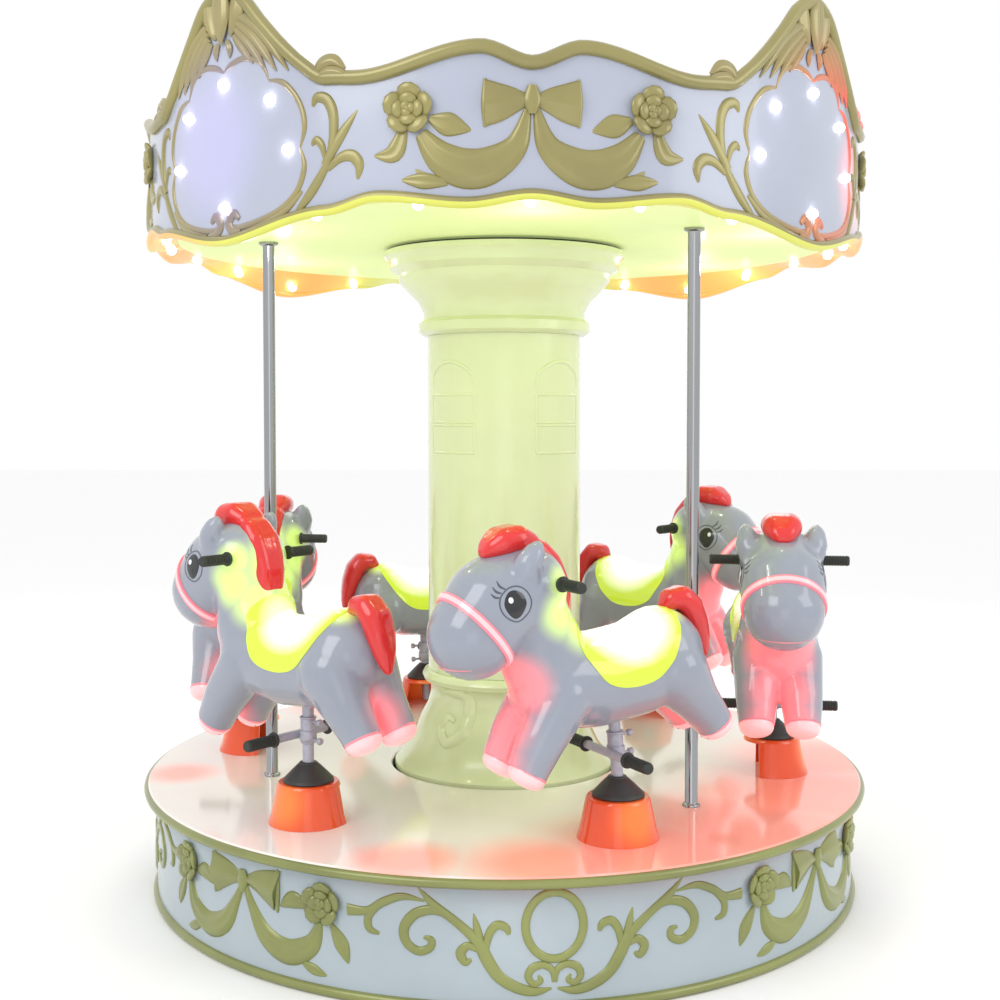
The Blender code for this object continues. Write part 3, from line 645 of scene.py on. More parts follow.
def crown_board(name, middle, half, steps, top, bottom):
    """One board of the crown: outer wall, back, and the soffit that runs in to the ceiling."""
    points = []
    for step in range(steps + 1):
        angle = half * (2 * step / steps - 1)
        high = wavy(top, angle)
        low = wavy(bottom, angle)
        section = ((WALL, low), (WALL, low + 0.02), (WALL, high - 0.02), (WALL, high),
                   (BOARD_BACK, high - 0.004), (BOARD_BACK, low + 0.060), (CEILING_EDGE, CEILING + 0.016),
                   (CEILING_EDGE, CEILING), (1.085, 0.35 * CEILING + 0.65 * low))
        points += [around(radius, middle + angle, height) for radius, height in section]
    count = len(section)
    faces = [tuple(range(count)), tuple(range(steps * count, (steps + 1) * count))]
    for step in range(steps):
        for point in range(count):
            after = (point + 1) % count
            faces.append((step * count + point, step * count + after, (step + 1) * count + after,
                          (step + 1) * count + point))
    return net(name, points, faces)


crown_white = gelcoat("crown blue-white", (0.395, 0.425, 0.52), 0.2)
# Painted light: a lilac and a pink glow on the crown boards beside the medallion lamps.
painted_light_from(crown_white, ((around(GLOW_CIRCLE, CROWN_AXIS - 48, 2.20), 0.27),), (0.44, 0.44, 0.66), 0.04)
painted_light_from(crown_white, ((around(GLOW_CIRCLE, CROWN_AXIS + 62, 2.15), 0.20),), (0.95, 0.42, 0.50), 0.06)
# Painted light: the ceiling glows green-cream, and the soffit under the crown glows yellow with orange pools.
ceiling_cream_painted_glow = glowing(gelcoat("ceiling cream, painted glow", (0.62, 0.72, 0.33), 0.55), (0.74, 0.90, 0.36), 0.28)
shader_of(ceiling_cream_painted_glow).inputs["Coat Weight"].default_value = 0.05
soffit_painted_light = glowing(gelcoat("soffit painted yellow light", (0.58, 0.60, 0.10), 0.4), (0.66, 0.68, 0.06), 0.20)
painted_light_from(soffit_painted_light, [(around(1.07, azimuth, 1.99), 0.42) for azimuth in (-62, -95, -130, 78, 105, 140)],
         (1.0, 0.42, 0.10), 0.20)
crown_gold = old_gold("crown old gold", (0.29, 0.255, 0.090), 0.32, 0.16)

CEILING_OUTLINE = ((0.02, CEILING + 0.020), (CEILING_EDGE - 0.0005, CEILING + 0.020),
                   (CEILING_EDGE - 0.0005, CEILING), (0.02, CEILING))
ROOF_OUTLINE = ((0.020, 2.330), (0.030, 2.336), (0.30, 2.296), (0.70, 2.242), (BOARD_BACK - 0.0015, 2.190),
                (BOARD_BACK - 0.0015, 2.178), (0.020, 2.318))
ceiling = turned("ceiling_round", CEILING_OUTLINE, 144, ceiling_cream_painted_glow, "platform")
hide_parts("canopy_ceiling")
roof_white = gelcoat("roof white", (0.75, 0.76, 0.78), 0.35)
roof = turned("roof_cone", ROOF_OUTLINE, 144, roof_white, "platform")
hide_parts("canopy_roof")


def edge_bead(name, line, thick, paint):
    """A round bead swept along the wavy edge of the whole crown."""
    shape = bmesh.new()
    rings = []
    spots = [around(WALL + 0.0005, azimuth, height) for azimuth, height in line]
    for index, spot in enumerate(spots):
        out = Vector((spot.x, spot.y, 0)).normalized()
        along = (spots[(index + 1) % len(spots)] - spots[index - 1]).normalized()
        across = along.cross(out).normalized()
        rings.append([shape.verts.new(spot + (out * math.cos(angle) + across * math.sin(angle)) * thick)
                      for angle in (math.radians(36 * step) for step in range(10))])
    join_rings(shape, rings, endless=True, round_about=True)
    return fit(name, out_of_mould(name, shape), paint, "platform", 80.0)


def paint_light_underneath(piece, paint, steepest):
    """Give the faces that look down another paint, which is painted light from below."""
    piece.data.materials.append(paint)
    for face in piece.data.polygons:
        if face.normal.z < steepest:
            face.material_index = 1


top_line = []
bottom_line = []
for quarter in range(4):
    middle = CROWN_AXIS + 90 * quarter
    number = quarter + 1
    for name, centre, half, steps, top, bottom, node in (
            ("crown_board", middle, PANEL_REACH, 54, PANEL_TOP, PANEL_BOTTOM, "crown_panel"),
            ("medallion_board", middle + 45, MEDALLION_REACH, 40, MEDALLION_TOP, MEDALLION_BOTTOM,
             "crown_medallion")):
        mesh = crown_board(f"{name}_{number}", centre, half, steps, top, bottom)
        board = fit(f"{name}_{number}", mesh, crown_white, "platform", 40.0)
        # Painted light: the board's underside takes the yellow soffit paint.
        paint_light_underneath(board, soffit_painted_light, -0.35)
        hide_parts(f"{node}_{number}")
        for step in range(steps):
            angle = half * (2 * step / steps - 1)
            top_line.append((centre + angle, wavy(top, angle) - 0.018))
            bottom_line.append((centre + angle, wavy(bottom, angle) + 0.013))
edge_bead("crown_top_bead", top_line, 0.0185, crown_gold)
foot_bead = edge_bead("crown_foot_bead", bottom_line, 0.0145, crown_gold)
# Painted light: the foot bead's underside is painted lit yellow from below; its top stays gold.
paint_light_underneath(foot_bead, soffit_painted_light, 0.1)


# The garlands on the crown: a bow over each panel's middle with swags, roses and leaves, and a leaf
# spray beside each medallion. All are cast, lacquered old gold and glued on.
GARLAND_SWAG = ((0.6, 2.225, 0.010), (2.0, 2.140, 0.030), (5.4, 2.092, 0.047), (8.6, 2.086, 0.050),
                (11.6, 2.116, 0.040), (14.0, 2.172, 0.018))
GARLAND_LEAVES = (
    ((12.9, 2.208, 0.010), (10.4, 2.192, 0.030), (7.4, 2.176, 0.001)),
    ((16.4, 2.180, 0.014), (17.6, 2.128, 0.024), (20.4, 2.124, 0.002)),
    ((10.6, 2.052, 0.008), (13.8, 2.058, 0.021), (16.9, 2.062, 0.001)),
    ((13.0, 2.062, 0.012), (15.3, 2.094, 0.001)))
SPRAY = (
    ((31.6, 1.998, 0.009), (29.3, 2.046, 0.014), (27.5, 2.094, 0.012), (26.5, 2.130, 0.009)),
    ((26.7, 2.118, 0.009), (26.0, 2.180, 0.013), (26.0, 2.235, 0.015), (26.9, 2.271, 0.015),
     (28.4, 2.279, 0.013), (29.0, 2.258, 0.005)),
    ((27.2, 2.120, 0.005), (27.6, 2.156, 0.010), (28.5, 2.174, 0.011), (29.2, 2.162, 0.005)),
    ((27.3, 2.110, 0.012), (24.8, 2.182, 0.014), (22.1, 2.248, 0.001)),
    ((26.8, 2.098, 0.007), (25.0, 2.125, 0.013), (23.3, 2.128, 0.016), (22.3, 2.105, 0.014),
     (22.5, 2.070, 0.005)))
CROWN_BOW = ((0.3, 2.250, 0.012), (2.4, 2.248, 0.034), (4.4, 2.244, 0.050), (5.9, 2.243, 0.058))
CROWN_KNOT = ((0.0, 2.215, 0.010), (0.0, 2.248, 0.022), (0.0, 2.284, 0.012))

crown_cast = bmesh.new()
for quarter in range(4):
    middle = CROWN_AXIS + 90 * quarter
    for side in (1, -1):
        carved_strand(crown_cast, swung(GARLAND_SWAG, middle, side), WALL, folds=3)
        for run in GARLAND_LEAVES:
            carved_strand(crown_cast, swung(run, middle, side), WALL, vein=0.45)
        for run in SPRAY:
            carved_strand(crown_cast, swung(run, middle, side), WALL, vein=0.12)
        carved_rose(crown_cast, middle + side * 15.6, 2.232, 0.062, WALL + 0.002)
        carved_bow(crown_cast, swung(CROWN_BOW, middle, side), 0.010)
    carved_strand(crown_cast, swung(CROWN_KNOT, middle), WALL + 0.006)
fit("crown_garlands", out_of_mould("crown_garlands", crown_cast), crown_gold, "platform",
    60.0)


# The medallions: a thin cusped bead round each tall board, bars and scrolls along its foot, leaves
# up its crest and a leafy knob at each side. All are cast, lacquered old gold and glued on.
MEDALLION_BEAD = (
    ((0.0, 2.384, 0.004), (1.6, 2.400, 0.0085), (4.4, 2.408, 0.0085), (7.4, 2.388, 0.0085),
     (8.8, 2.342, 0.004)),
    ((8.8, 2.340, 0.004), (11.4, 2.326, 0.0085), (13.8, 2.275, 0.0085), (14.7, 2.215, 0.0085),
     (14.0, 2.160, 0.004)),
    ((14.0, 2.158, 0.004), (14.6, 2.110, 0.0085), (13.4, 2.052, 0.0085), (10.6, 2.010, 0.0085),
     (6.6, 1.986, 0.0085), (3.0, 1.976, 0.0085), (1.0, 1.984, 0.004)))
MEDALLION_BARS = (
    ((14.2, 2.050, 0.006), (11.4, 2.004, 0.010), (7.6, 1.976, 0.010), (4.2, 1.962, 0.0085)),
    ((3.4, 1.966, 0.0085), (1.9, 1.966, 0.014), (0.9, 1.990, 0.016), (2.0, 2.012, 0.014),
     (3.1, 1.998, 0.008)))
CREST_PLUMES = (
    ((3.4, 2.588, 0.012), (3.2, 2.560, 0.028), (2.6, 2.515, 0.027), (1.6, 2.474, 0.004)),
    ((3.6, 2.516, 0.012), (6.6, 2.482, 0.019), (9.7, 2.420, 0.015), (12.2, 2.356, 0.002)),
    ((3.2, 2.500, 0.012), (5.8, 2.462, 0.018), (8.4, 2.408, 0.013), (10.2, 2.360, 0.002)),
    ((3.0, 2.484, 0.012), (5.0, 2.448, 0.017), (7.0, 2.405, 0.011), (8.2, 2.372, 0.002)),
    ((2.6, 2.470, 0.010), (3.9, 2.440, 0.014), (5.2, 2.410, 0.009), (6.0, 2.390, 0.002)),
    ((1.0, 2.462, 0.008), (1.5, 2.440, 0.011), (1.4, 2.418, 0.002)))
CREST_LEAF = ((0.0, 2.602, 0.014), (0.0, 2.565, 0.033), (0.0, 2.510, 0.030), (0.0, 2.455, 0.004))
KNOB_LEAVES = (
    ((16.6, 2.330, 0.010), (17.6, 2.356, 0.020), (19.2, 2.362, 0.019), (20.8, 2.340, 0.006)),
    ((17.0, 2.322, 0.006), (18.4, 2.336, 0.014), (20.2, 2.332, 0.012), (21.6, 2.318, 0.003)))

crest_cast = bmesh.new()
for quarter in range(4):
    middle = CROWN_AXIS + 45 + 90 * quarter
    for side in (1, -1):
        for run in MEDALLION_BEAD + MEDALLION_BARS:
            carved_strand(crest_cast, swung(run, middle, side), WALL)
        for run in CREST_PLUMES:
            carved_strand(crest_cast, swung(run, middle, side), WALL + 0.004, folds=2)
        for run, wall in zip(KNOB_LEAVES, (WALL + 0.004, WALL + 0.012)):
            carved_strand(crest_cast, swung(run, middle, side), wall, folds=2)
    carved_strand(crest_cast, swung(CREST_LEAF, middle), WALL + 0.010, folds=3)
crest_gold = old_gold("crest old gold", (0.33, 0.28, 0.115), 0.30, 0.12)
# Painted light: a violet and a red glow on the leafwork beside the medallion lamps.
painted_light_from(crest_gold, ((around(GLOW_CIRCLE, CROWN_AXIS - 45, 2.20), 0.31),), (0.20, 0.15, 0.33), 0.05)
painted_light_from(crest_gold, ((around(GLOW_CIRCLE, CROWN_AXIS + 50, 2.20), 0.36),
                      (around(GLOW_CIRCLE, CROWN_AXIS + 60, 2.32), 0.24)),
         (0.80, 0.13, 0.09), 0.10)
fit("medallion_leafwork", out_of_mould("medallion_leafwork", crest_cast), crest_gold, "platform",
    60.0)


# The lamps: frosted plastic caps that push into sockets, twenty-four under the canopy's edge and
# six round each medallion. They shine white, a little bluish below and a little pink above.
def frosted_lamp(name, glow, strength):
    """Frosted plastic lit from within, uneven in its polish."""
    cap, nodes, links, shader, where = fresh_paint(name)
    frost = nodes.new("ShaderNodeTexNoise")
    frost.inputs["Scale"].default_value = 300.0
    rough = nodes.new("ShaderNodeMapRange")
    rough.inputs["To Min"].default_value = 0.25
    rough.inputs["To Max"].default_value = 0.5
    links.new(where, frost.inputs["Vector"])
    links.new(frost.outputs["Fac"], rough.inputs["Value"])
    links.new(rough.outputs["Result"], shader.inputs["Roughness"])
    shader.inputs["Base Color"].default_value = (0.95, 0.95, 0.97, 1)
    return glowing(cap, glow, strength)


def domed_cap(shape, spot, facing, steps, size, tall, sides):
    """A cap turned to (share of its size, rise) steps, standing on a spot and facing away from it."""
    turn = Matrix.Translation(spot) @ facing.to_track_quat("Z", "Y").to_matrix().to_4x4()
    rings = []
    for share, rise in steps:
        ring = []
        for step in range(sides):
            angle = math.radians(360 * step / sides)
            spoke = Vector((size * share * math.cos(angle), size * share * math.sin(angle), tall * rise))
            ring.append(shape.verts.new(turn @ spoke))
        rings.append(ring)
    join_rings(shape, rings, round_about=True)
    shape.faces.new(rings[0])
    shape.faces.new(rings[-1])


LAMP_STEPS = ((1.0, -0.2), (1.0, 0.25), (0.94, 0.55), (0.74, 0.85), (0.42, 1.05))
CANOPY_LAMP = 0.0145
CANOPY_LAMP_CIRCLE = 1.070
MEDALLION_LAMP = 0.0135
MEDALLION_LAMPS = ((0.0, 2.352), (9.0, 2.290), (-9.0, 2.290), (12.0, 2.158), (-12.0, 2.158), (0.0, 2.030))
DOWN = Vector((0, 0, -1))

canopy_lamps = bmesh.new()
for step in range(24):
    azimuth = CROWN_AXIS + 15 * step
    angle = (azimuth - CROWN_AXIS + PANEL_REACH) % 90 - PANEL_REACH
    low = wavy(PANEL_BOTTOM, angle) if angle <= PANEL_REACH else wavy(MEDALLION_BOTTOM, angle - 45)
    spot = around(CANOPY_LAMP_CIRCLE, azimuth, 0.4 * CEILING + 0.6 * low)
    domed_cap(canopy_lamps, spot, DOWN, LAMP_STEPS, CANOPY_LAMP, CANOPY_LAMP, 12)
medallion_lamps = bmesh.new()
for quarter in range(4):
    for shift, height in MEDALLION_LAMPS:
        azimuth = CROWN_AXIS + 45 + 90 * quarter + shift
        spot = around(WALL + 0.001, azimuth, height)
        outwards = around(1.0, azimuth, 0.0)
        domed_cap(medallion_lamps, spot, outwards, LAMP_STEPS, MEDALLION_LAMP, MEDALLION_LAMP, 12)
for name, shape, glow in (("canopy_lamps", canopy_lamps, (0.9, 0.97, 1.0)),
                          ("medallion_lamps", medallion_lamps, (1.0, 0.9, 1.0))):
    lamp_paint = frosted_lamp(name.replace("_", " "), glow, 9.0)
    fit(name, out_of_mould(name, shape), lamp_paint, "platform", 40.0)


# The ponies: six alike hollow mouldings in blue-white plastic, lit from inside; the pink and
# yellow-green light of their lamps is painted on the shell. Each is one round shell with short legs,
# two ears and a saddle lamp let into its back.
HORSE_CIRCLE = 0.867
FIRST_HORSE = 20.75
LEAN_HEIGHT = 0.130
HORSE_TURNS = (8.0, 2.0, -1.0, -4.0, 3.0, 1.0)
HORSE_PITCHES = (4.0, 3.0, -2.0, -2.0, 1.0, 0.0)
HORSE_LIFTS = (0.000, -0.015, -0.010, -0.040, -0.025, 0.005)
PONY_TRUNK = ((-0.150, 0, 0.478, 0.128), (-0.070, 0, 0.448, 0.128), (0.065, 0, 0.440, 0.128),
              (0.180, 0, 0.456, 0.126))
PONY_NECK = ((0.205, 0, 0.515, 0.118), (0.225, 0, 0.580, 0.108), (0.245, 0, 0.645, 0.105))
PONY_HEAD = ((0.265, 0, 0.708, 0.124), (0.345, 0, 0.680, 0.126), (0.410, 0, 0.612, 0.117))
PONY_FRONT_LEG = ((0.190, 0.058, 0.425, 0.078), (0.268, 0.066, 0.325, 0.064), (0.304, 0.067, 0.268, 0.056),
                  (0.328, 0.068, 0.226, 0.052))
PONY_HIND_LEG = ((-0.160, 0.058, 0.440, 0.095), (-0.215, 0.066, 0.360, 0.068), (-0.268, 0.067, 0.292, 0.055),
                 (-0.291, 0.068, 0.254, 0.052))
PONY_EAR = ((0.296, 0.088, 0.764, 0.040), (0.288, 0.096, 0.786, 0.038), (0.274, 0.101, 0.811, 0.029),
            (0.263, 0.102, 0.828, 0.017))
FRONT_HOOF = Vector((0.312, 0.068, 0.250))
FRONT_HOOF_FACING = Vector((0.58, 0.0, -0.81)).normalized()
HIND_HOOF = Vector((-0.279, 0.068, 0.275))
HIND_HOOF_FACING = Vector((-0.52, 0.0, -0.85)).normalized()


def upright_frame(index, height):
    """Where a pony's hood stands, or a point above it: forwards, outwards and straight up."""
    azimuth = FIRST_HORSE + 60 * index
    turn = Matrix.Rotation(math.radians(azimuth + 180 + HORSE_TURNS[index]), 4, "Z")
    return Matrix.Translation(around(HORSE_CIRCLE, azimuth, height)) @ turn


def pony_frame(index):
    """Where a pony's own axes stand: forwards, outwards and up the leaning post."""
    lean = Matrix.Rotation(math.radians(HORSE_PITCHES[index]), 4, "Y")
    rise = Matrix.Translation((0, 0, HORSE_LIFTS[index] - LEAN_HEIGHT))
    return upright_frame(index, DECK_TOP + LEAN_HEIGHT) @ lean @ rise


def finished(form, name):
    """The mesh of a form as its modifiers leave it."""
    view = bpy.context.evaluated_depsgraph_get()
    view.update()
    result = bpy.data.meshes.new_from_object(form.evaluated_get(view))
    result.name = name
    bpy.data.objects.remove(form, do_unlink=True)
    return result


def rounded_form(name, limbs, voxel, soften, spread=0.0):
    """Close a skin over limbs of (forward, side, up, radius) points and smooth it."""
    shape = bmesh.new()
    for points, mirrored in limbs:
        for side in ((1, -1) if mirrored else (1,)):
            for start, end in zip(points, points[1:]):
                gap = (Vector(end[:3]) - Vector(start[:3])).length
                steps = max(2, math.ceil(gap / (0.2 * min(start[3], end[3]) + 0.002)))
                for step in range(steps + 1):
                    x, y, z, radius = (a + (b - a) * step / steps for a, b in zip(start, end))
                    for aside in ((-spread * radius, 0.0, spread * radius) if spread else (0.0,)):
                        bmesh.ops.create_icosphere(shape, subdivisions=3, radius=radius,
                                                   matrix=Matrix.Translation((x, side * y + aside, z)))
    form = bpy.data.objects.new(name, out_of_mould(name, shape))
    bpy.context.collection.objects.link(form)
    skin = form.modifiers.new("skin", "REMESH")
    skin.mode = "VOXEL"
    skin.voxel_size = voxel
    easing = form.modifiers.new("easing", "SMOOTH")
    easing.iterations = soften
    easing.factor = 0.5
    return finished(form, name)


def trimmed(name, mesh, tool_mesh, way):
    """Cut a moulding by a closed tool shape, keeping what is inside or outside it."""
    body = bpy.data.objects.new(name, mesh)
    tool = bpy.data.objects.new("tool", tool_mesh)
    for each in (body, tool):
        bpy.context.collection.objects.link(each)
    cut = body.modifiers.new("cut", "BOOLEAN")
    cut.operation = way
    cut.solver = "EXACT"
    cut.object = tool
    result = finished(body, name)
    result.materials.clear()
    bpy.data.objects.remove(tool, do_unlink=True)
    return result


def swollen(name, mesh, distance):
    """A copy of a skin moved out along its normals."""
    copy = mesh.copy()
    copy.name = name
    normals = [corner.normal.copy() for corner in mesh.vertices]
    for corner, normal in zip(copy.vertices, normals):
        corner.co += normal * distance
    return copy


def cut_flat(mesh, middle, facing, reach):
    """Press the end of a leg flat where its hoof is."""
    for corner in mesh.vertices:
        for side in (1, -1):
            spot = Vector((middle.x, side * middle.y, middle.z))
            away = corner.co - spot
            past = away.dot(facing)
            if past > 0 and away.length < reach:
                corner.co -= facing * past


PONY_LIMBS = ((PONY_TRUNK, False), (PONY_NECK, False), (PONY_HEAD, False), (PONY_FRONT_LEG, True),
              (PONY_HIND_LEG, True), (PONY_EAR, True))
pony_skin = rounded_form("pony_shell", PONY_LIMBS, 0.0078, 5)
cut_flat(pony_skin, FRONT_HOOF, FRONT_HOOF_FACING, 0.09)
cut_flat(pony_skin, HIND_HOOF, HIND_HOOF_FACING, 0.09)
skin_search = bmesh.new()
skin_search.from_mesh(pony_skin)
pony_surface = BVHTree.FromBMesh(skin_search)
skin_search.free()

pony_white = gelcoat("pony blue-white", (0.29, 0.315, 0.38), 0.14, 0.05)
# Painted light: pink on the legs, belly and chest, and yellow-green about the saddle and neck.
painted_light_from(pony_white, (((0.36, 0.0, 0.27), 0.135), ((0.33, 0.0, 0.36), 0.13), ((0.305, 0.04, 0.470), 0.115),
                      ((-0.24, 0.0, 0.31), 0.12), ((-0.10, 0.0, 0.33), 0.08), ((0.12, 0.0, 0.31), 0.08)),
         (1.0, 0.24, 0.27), 0.28, mirrored=True)
painted_light_from(pony_white, (((0.195, 0.110, 0.655), 0.095), ((0.150, 0.05, 0.60), 0.10), ((0.16, 0.0, 0.70), 0.12),
                      ((0.20, 0.09, 0.72), 0.07), ((-0.165, 0.03, 0.61), 0.075)),
         (0.70, 0.95, 0.25), 0.28, mirrored=True)


# The saddle: a translucent inlay let flush into the pony's back, lit from inside, white in the
# middle and yellow-green towards its rim.
SADDLE_EDGE = ((0.060, 0.700), (0.100, 0.652), (0.132, 0.612), (0.150, 0.574), (0.140, 0.534),
               (0.118, 0.492), (0.090, 0.456), (0.045, 0.437), (-0.015, 0.433), (-0.070, 0.446),
               (-0.115, 0.485), (-0.150, 0.535), (-0.174, 0.582), (-0.172, 0.622), (-0.150, 0.665),
               (-0.110, 0.700))
TOOL_REACH = 0.25


def cross_slab(name, outline, half_width):
    """A closed side outline carried straight across the pony."""
    count = len(outline)
    points = [(x, side * half_width, z) for side in (-1, 1) for x, z in outline]
    faces = [tuple(range(count)), tuple(range(2 * count - 1, count - 1, -1))]
    for index in range(count):
        after = (index + 1) % count
        faces.append((index, after, count + after, count + index))
    mesh = net(name, points, faces)
    face_outwards(mesh)
    return mesh


saddle_outline = smooth_run(SADDLE_EDGE, closed=True, density=5)
saddle_form = trimmed("saddle_lamp", swollen("saddle_skin", pony_skin, 0.0022),
                      cross_slab("saddle_tool", saddle_outline, TOOL_REACH), "INTERSECT")
saddle_glow = gelcoat("saddle lamp", (0.95, 0.97, 0.90), 0.14, 0.02)
saddle_nodes = saddle_glow.node_tree.nodes
saddle_links = saddle_glow.node_tree.links
saddle_shader = shader_of(saddle_glow)
saddle_spot = saddle_nodes.new("ShaderNodeVectorMath")
saddle_spot.operation = "MULTIPLY_ADD"
saddle_spot.inputs[1].default_value = (6.0, 3.6, 7.0)
saddle_spot.inputs[2].default_value = (0.10, 0.0, -4.15)
saddle_far = saddle_nodes.new("ShaderNodeVectorMath")
saddle_far.operation = "LENGTH"
saddle_ramp = saddle_nodes.new("ShaderNodeValToRGB")
saddle_ramp.color_ramp.elements[0].position = 0.55
saddle_ramp.color_ramp.elements[0].color = (1.0, 1.0, 0.96, 1)
saddle_ramp.color_ramp.elements[1].position = 0.92
saddle_ramp.color_ramp.elements[1].color = (0.50, 0.64, 0.04, 1)
saddle_links.new(saddle_nodes["where"].outputs["Object"], saddle_spot.inputs[0])
saddle_links.new(saddle_spot.outputs[0], saddle_far.inputs[0])
saddle_links.new(saddle_far.outputs["Value"], saddle_ramp.inputs["Fac"])
saddle_links.new(saddle_ramp.outputs["Color"], saddle_shader.inputs["Base Color"])
saddle_links.new(saddle_ramp.outputs["Color"], saddle_shader.inputs["Emission Color"])
saddle_shader.inputs["Emission Strength"].default_value = 0.45


# The mane and tail: a mane of two lobes, one over the brow and one down the neck, and a pointed
# tail. Both are moulded in glossy red plastic and pegged on.
MANE_FRONT = ((0.360, 0, 0.813, 0.015), (0.340, 0, 0.827, 0.027), (0.310, 0, 0.839, 0.037),
              (0.276, 0, 0.841, 0.038), (0.246, 0, 0.828, 0.033))
MANE_BACK = ((0.238, 0, 0.812, 0.022), (0.214, 0, 0.802, 0.033), (0.188, 0, 0.770, 0.035),
             (0.170, 0, 0.728, 0.034), (0.160, 0, 0.685, 0.032), (0.158, 0, 0.645, 0.029),
             (0.162, 0, 0.612, 0.022))
TAIL = ((-0.186, 0, 0.604, 0.018), (-0.206, 0, 0.620, 0.028), (-0.238, 0, 0.619, 0.034),
        (-0.262, 0, 0.592, 0.036), (-0.280, 0, 0.548, 0.033), (-0.292, 0, 0.508, 0.027),
        (-0.301, 0, 0.475, 0.019), (-0.308, 0, 0.450, 0.010))

hair_red = gelcoat("hair red", (0.66, 0.022, 0.022), 0.14, 0.10)
mane_form = rounded_form("mane", ((MANE_FRONT, False), (MANE_BACK, False)), 0.005, 14, 0.6)
tail_form = rounded_form("tail", ((TAIL, False),), 0.005, 10, 0.35)


# The strap round the muzzle: a narrow translucent band, raised a little on the shell, that glows
# pink. A brighter and narrower band runs along its middle.
def band_tool(name, middle, facing, half_width, low, high):
    """A flat tool across the head, for a band round it."""
    along = Vector((-facing.z, 0.0, facing.x))
    corners = [middle + facing * side * half_width + along * reach
               for side, reach in ((-1, -low), (1, -low), (1, high), (-1, high))]
    return cross_slab(name, [(corner.x, corner.z) for corner in corners], TOOL_REACH)


STRAP_MIDDLE = Vector((0.408, 0.0, 0.629))
STRAP_FACING = Vector((0.79, 0.0, -0.61)).normalized()
strap_form = trimmed("strap", swollen("strap_skin", pony_skin, 0.0050),
                     band_tool("strap_tool", STRAP_MIDDLE, STRAP_FACING, 0.0110, 0.124, 0.180), "INTERSECT")
core_tool = band_tool("strap_core_tool", STRAP_MIDDLE, STRAP_FACING, 0.0058, 0.120, 0.180)
strap_core = trimmed("strap_core", swollen("strap_core_skin", pony_skin, 0.0062), core_tool, "INTERSECT")
strap_pink = glowing(gelcoat("strap pink", (0.95, 0.20, 0.24), 0.2, 0.03), (1.0, 0.22, 0.27), 0.35)
strap_light = glowing(gelcoat("strap light", (1.0, 0.45, 0.48), 0.2, 0.03), (1.0, 0.50, 0.54), 0.35)


# The hooves: domed translucent caps at the ends of the legs, pale pink and lit from inside, with a
# brighter rim line where they meet the leg. Two small screws hold each cap.
HOOF_STEPS = ((1.0, -0.004), (1.03, 0.002), (1.03, 0.009), (0.98, 0.017), (0.86, 0.0245), (0.64, 0.0305),
              (0.3, 0.034))
PATTERN_RADIUS = 0.0475
HOOF_RADIUS = 0.0495
RIM_RADIUS = 0.0525
RIM_DEPTH = 0.0055
SCREW_RADIUS = 0.0026


def hoof_cap(shape, middle, facing, radius):
    """A hoof, or a screw's head of the same form: its steps are drawn for the pattern's radius."""
    domed_cap(shape, middle, facing, HOOF_STEPS, radius, radius / PATTERN_RADIUS, 24)


hoof_shape = bmesh.new()
hoof_rims = bmesh.new()
hoof_screws = bmesh.new()
for side in (1, -1):
    for middle, facing in ((FRONT_HOOF, FRONT_HOOF_FACING), (HIND_HOOF, HIND_HOOF_FACING)):
        spot = Vector((middle.x, side * middle.y, middle.z))
        hoof_cap(hoof_shape, spot, facing, HOOF_RADIUS)
        turn = facing.to_track_quat("Z", "Y").to_matrix().to_4x4()
        bmesh.ops.create_cone(hoof_rims, cap_ends=True, segments=28, radius1=RIM_RADIUS, radius2=RIM_RADIUS,
                              depth=RIM_DEPTH, matrix=Matrix.Translation(spot - facing * 0.0005) @ turn)
        forward = Vector((-facing.z, 0.0, facing.x)) * (1 if facing.x > 0 else -1)
        for aside in (0.014, -0.014):
            screw = spot + facing * 0.0145 + Vector((0, aside, 0)) - forward * 0.0465
            hoof_cap(hoof_screws, screw, facing, SCREW_RADIUS)
hoof_form = out_of_mould("hooves", hoof_shape)
rim_form = out_of_mould("hoof_rims", hoof_rims)
screw_form = out_of_mould("hoof_screws", hoof_screws)
hoof_pink = glowing(gelcoat("hoof pink", (1.0, 0.50, 0.52), 0.22, 0.03), (1.0, 0.52, 0.54), 0.30)


# The eyes and mouth: printed flush on the shell, a dark pupil with a light spot in a thin grey
# outline, three lashes, and a soft pink mouth line.
def on_cheek(forward, up, side):
    """The point of the shell beside a point of the pony's side view, and the way it faces."""
    return pony_surface.ray_cast(Vector((forward, side * 0.4, up)), Vector((0, -side, 0)))[:2]


def printed_patch(shape, outline, side, lift):
    """A thin printed shape inside a side outline, following the shell."""
    middle = Vector((sum(x for x, z in outline) / len(outline), sum(z for x, z in outline) / len(outline)))
    rings = []
    for share in (1.0, 0.8, 0.6, 0.4, 0.2):
        ring = []
        for x, z in outline:
            spot, out = on_cheek(middle.x + (x - middle.x) * share, middle.y + (z - middle.y) * share, side)
            ring.append(shape.verts.new(spot + out * (lift if share < 1.0 else -0.0005)))
        rings.append(ring)
    join_rings(shape, rings, round_about=True)
    shape.faces.new(rings[-1])


def printed_line(shape, run, side, closed=False):
    """A thin printed line through (forward, up, half width) points on the shell."""
    path = smooth_run(run, closed, 6)
    rings = []
    for index, (x, z, width) in enumerate(path):
        spot, out = on_cheek(x, z, side)
        after = path[(index + 1) % len(path)] if index < len(path) - 1 or closed else path[index]
        before = path[index - 1] if index or closed else path[index]
        along = Vector((after[0] - before[0], 0, after[1] - before[1])).normalized()
        across = along.cross(out).normalized() * max(width, 0.0003)
        rings.append([shape.verts.new(spot + across * share + out * rise)
                      for share, rise in ((-1, -0.0006), (-0.7, 0.0011), (0.7, 0.0011), (1, -0.0006))])
    join_rings(shape, rings, endless=closed)


EYE = Vector((0.345, 0.696))


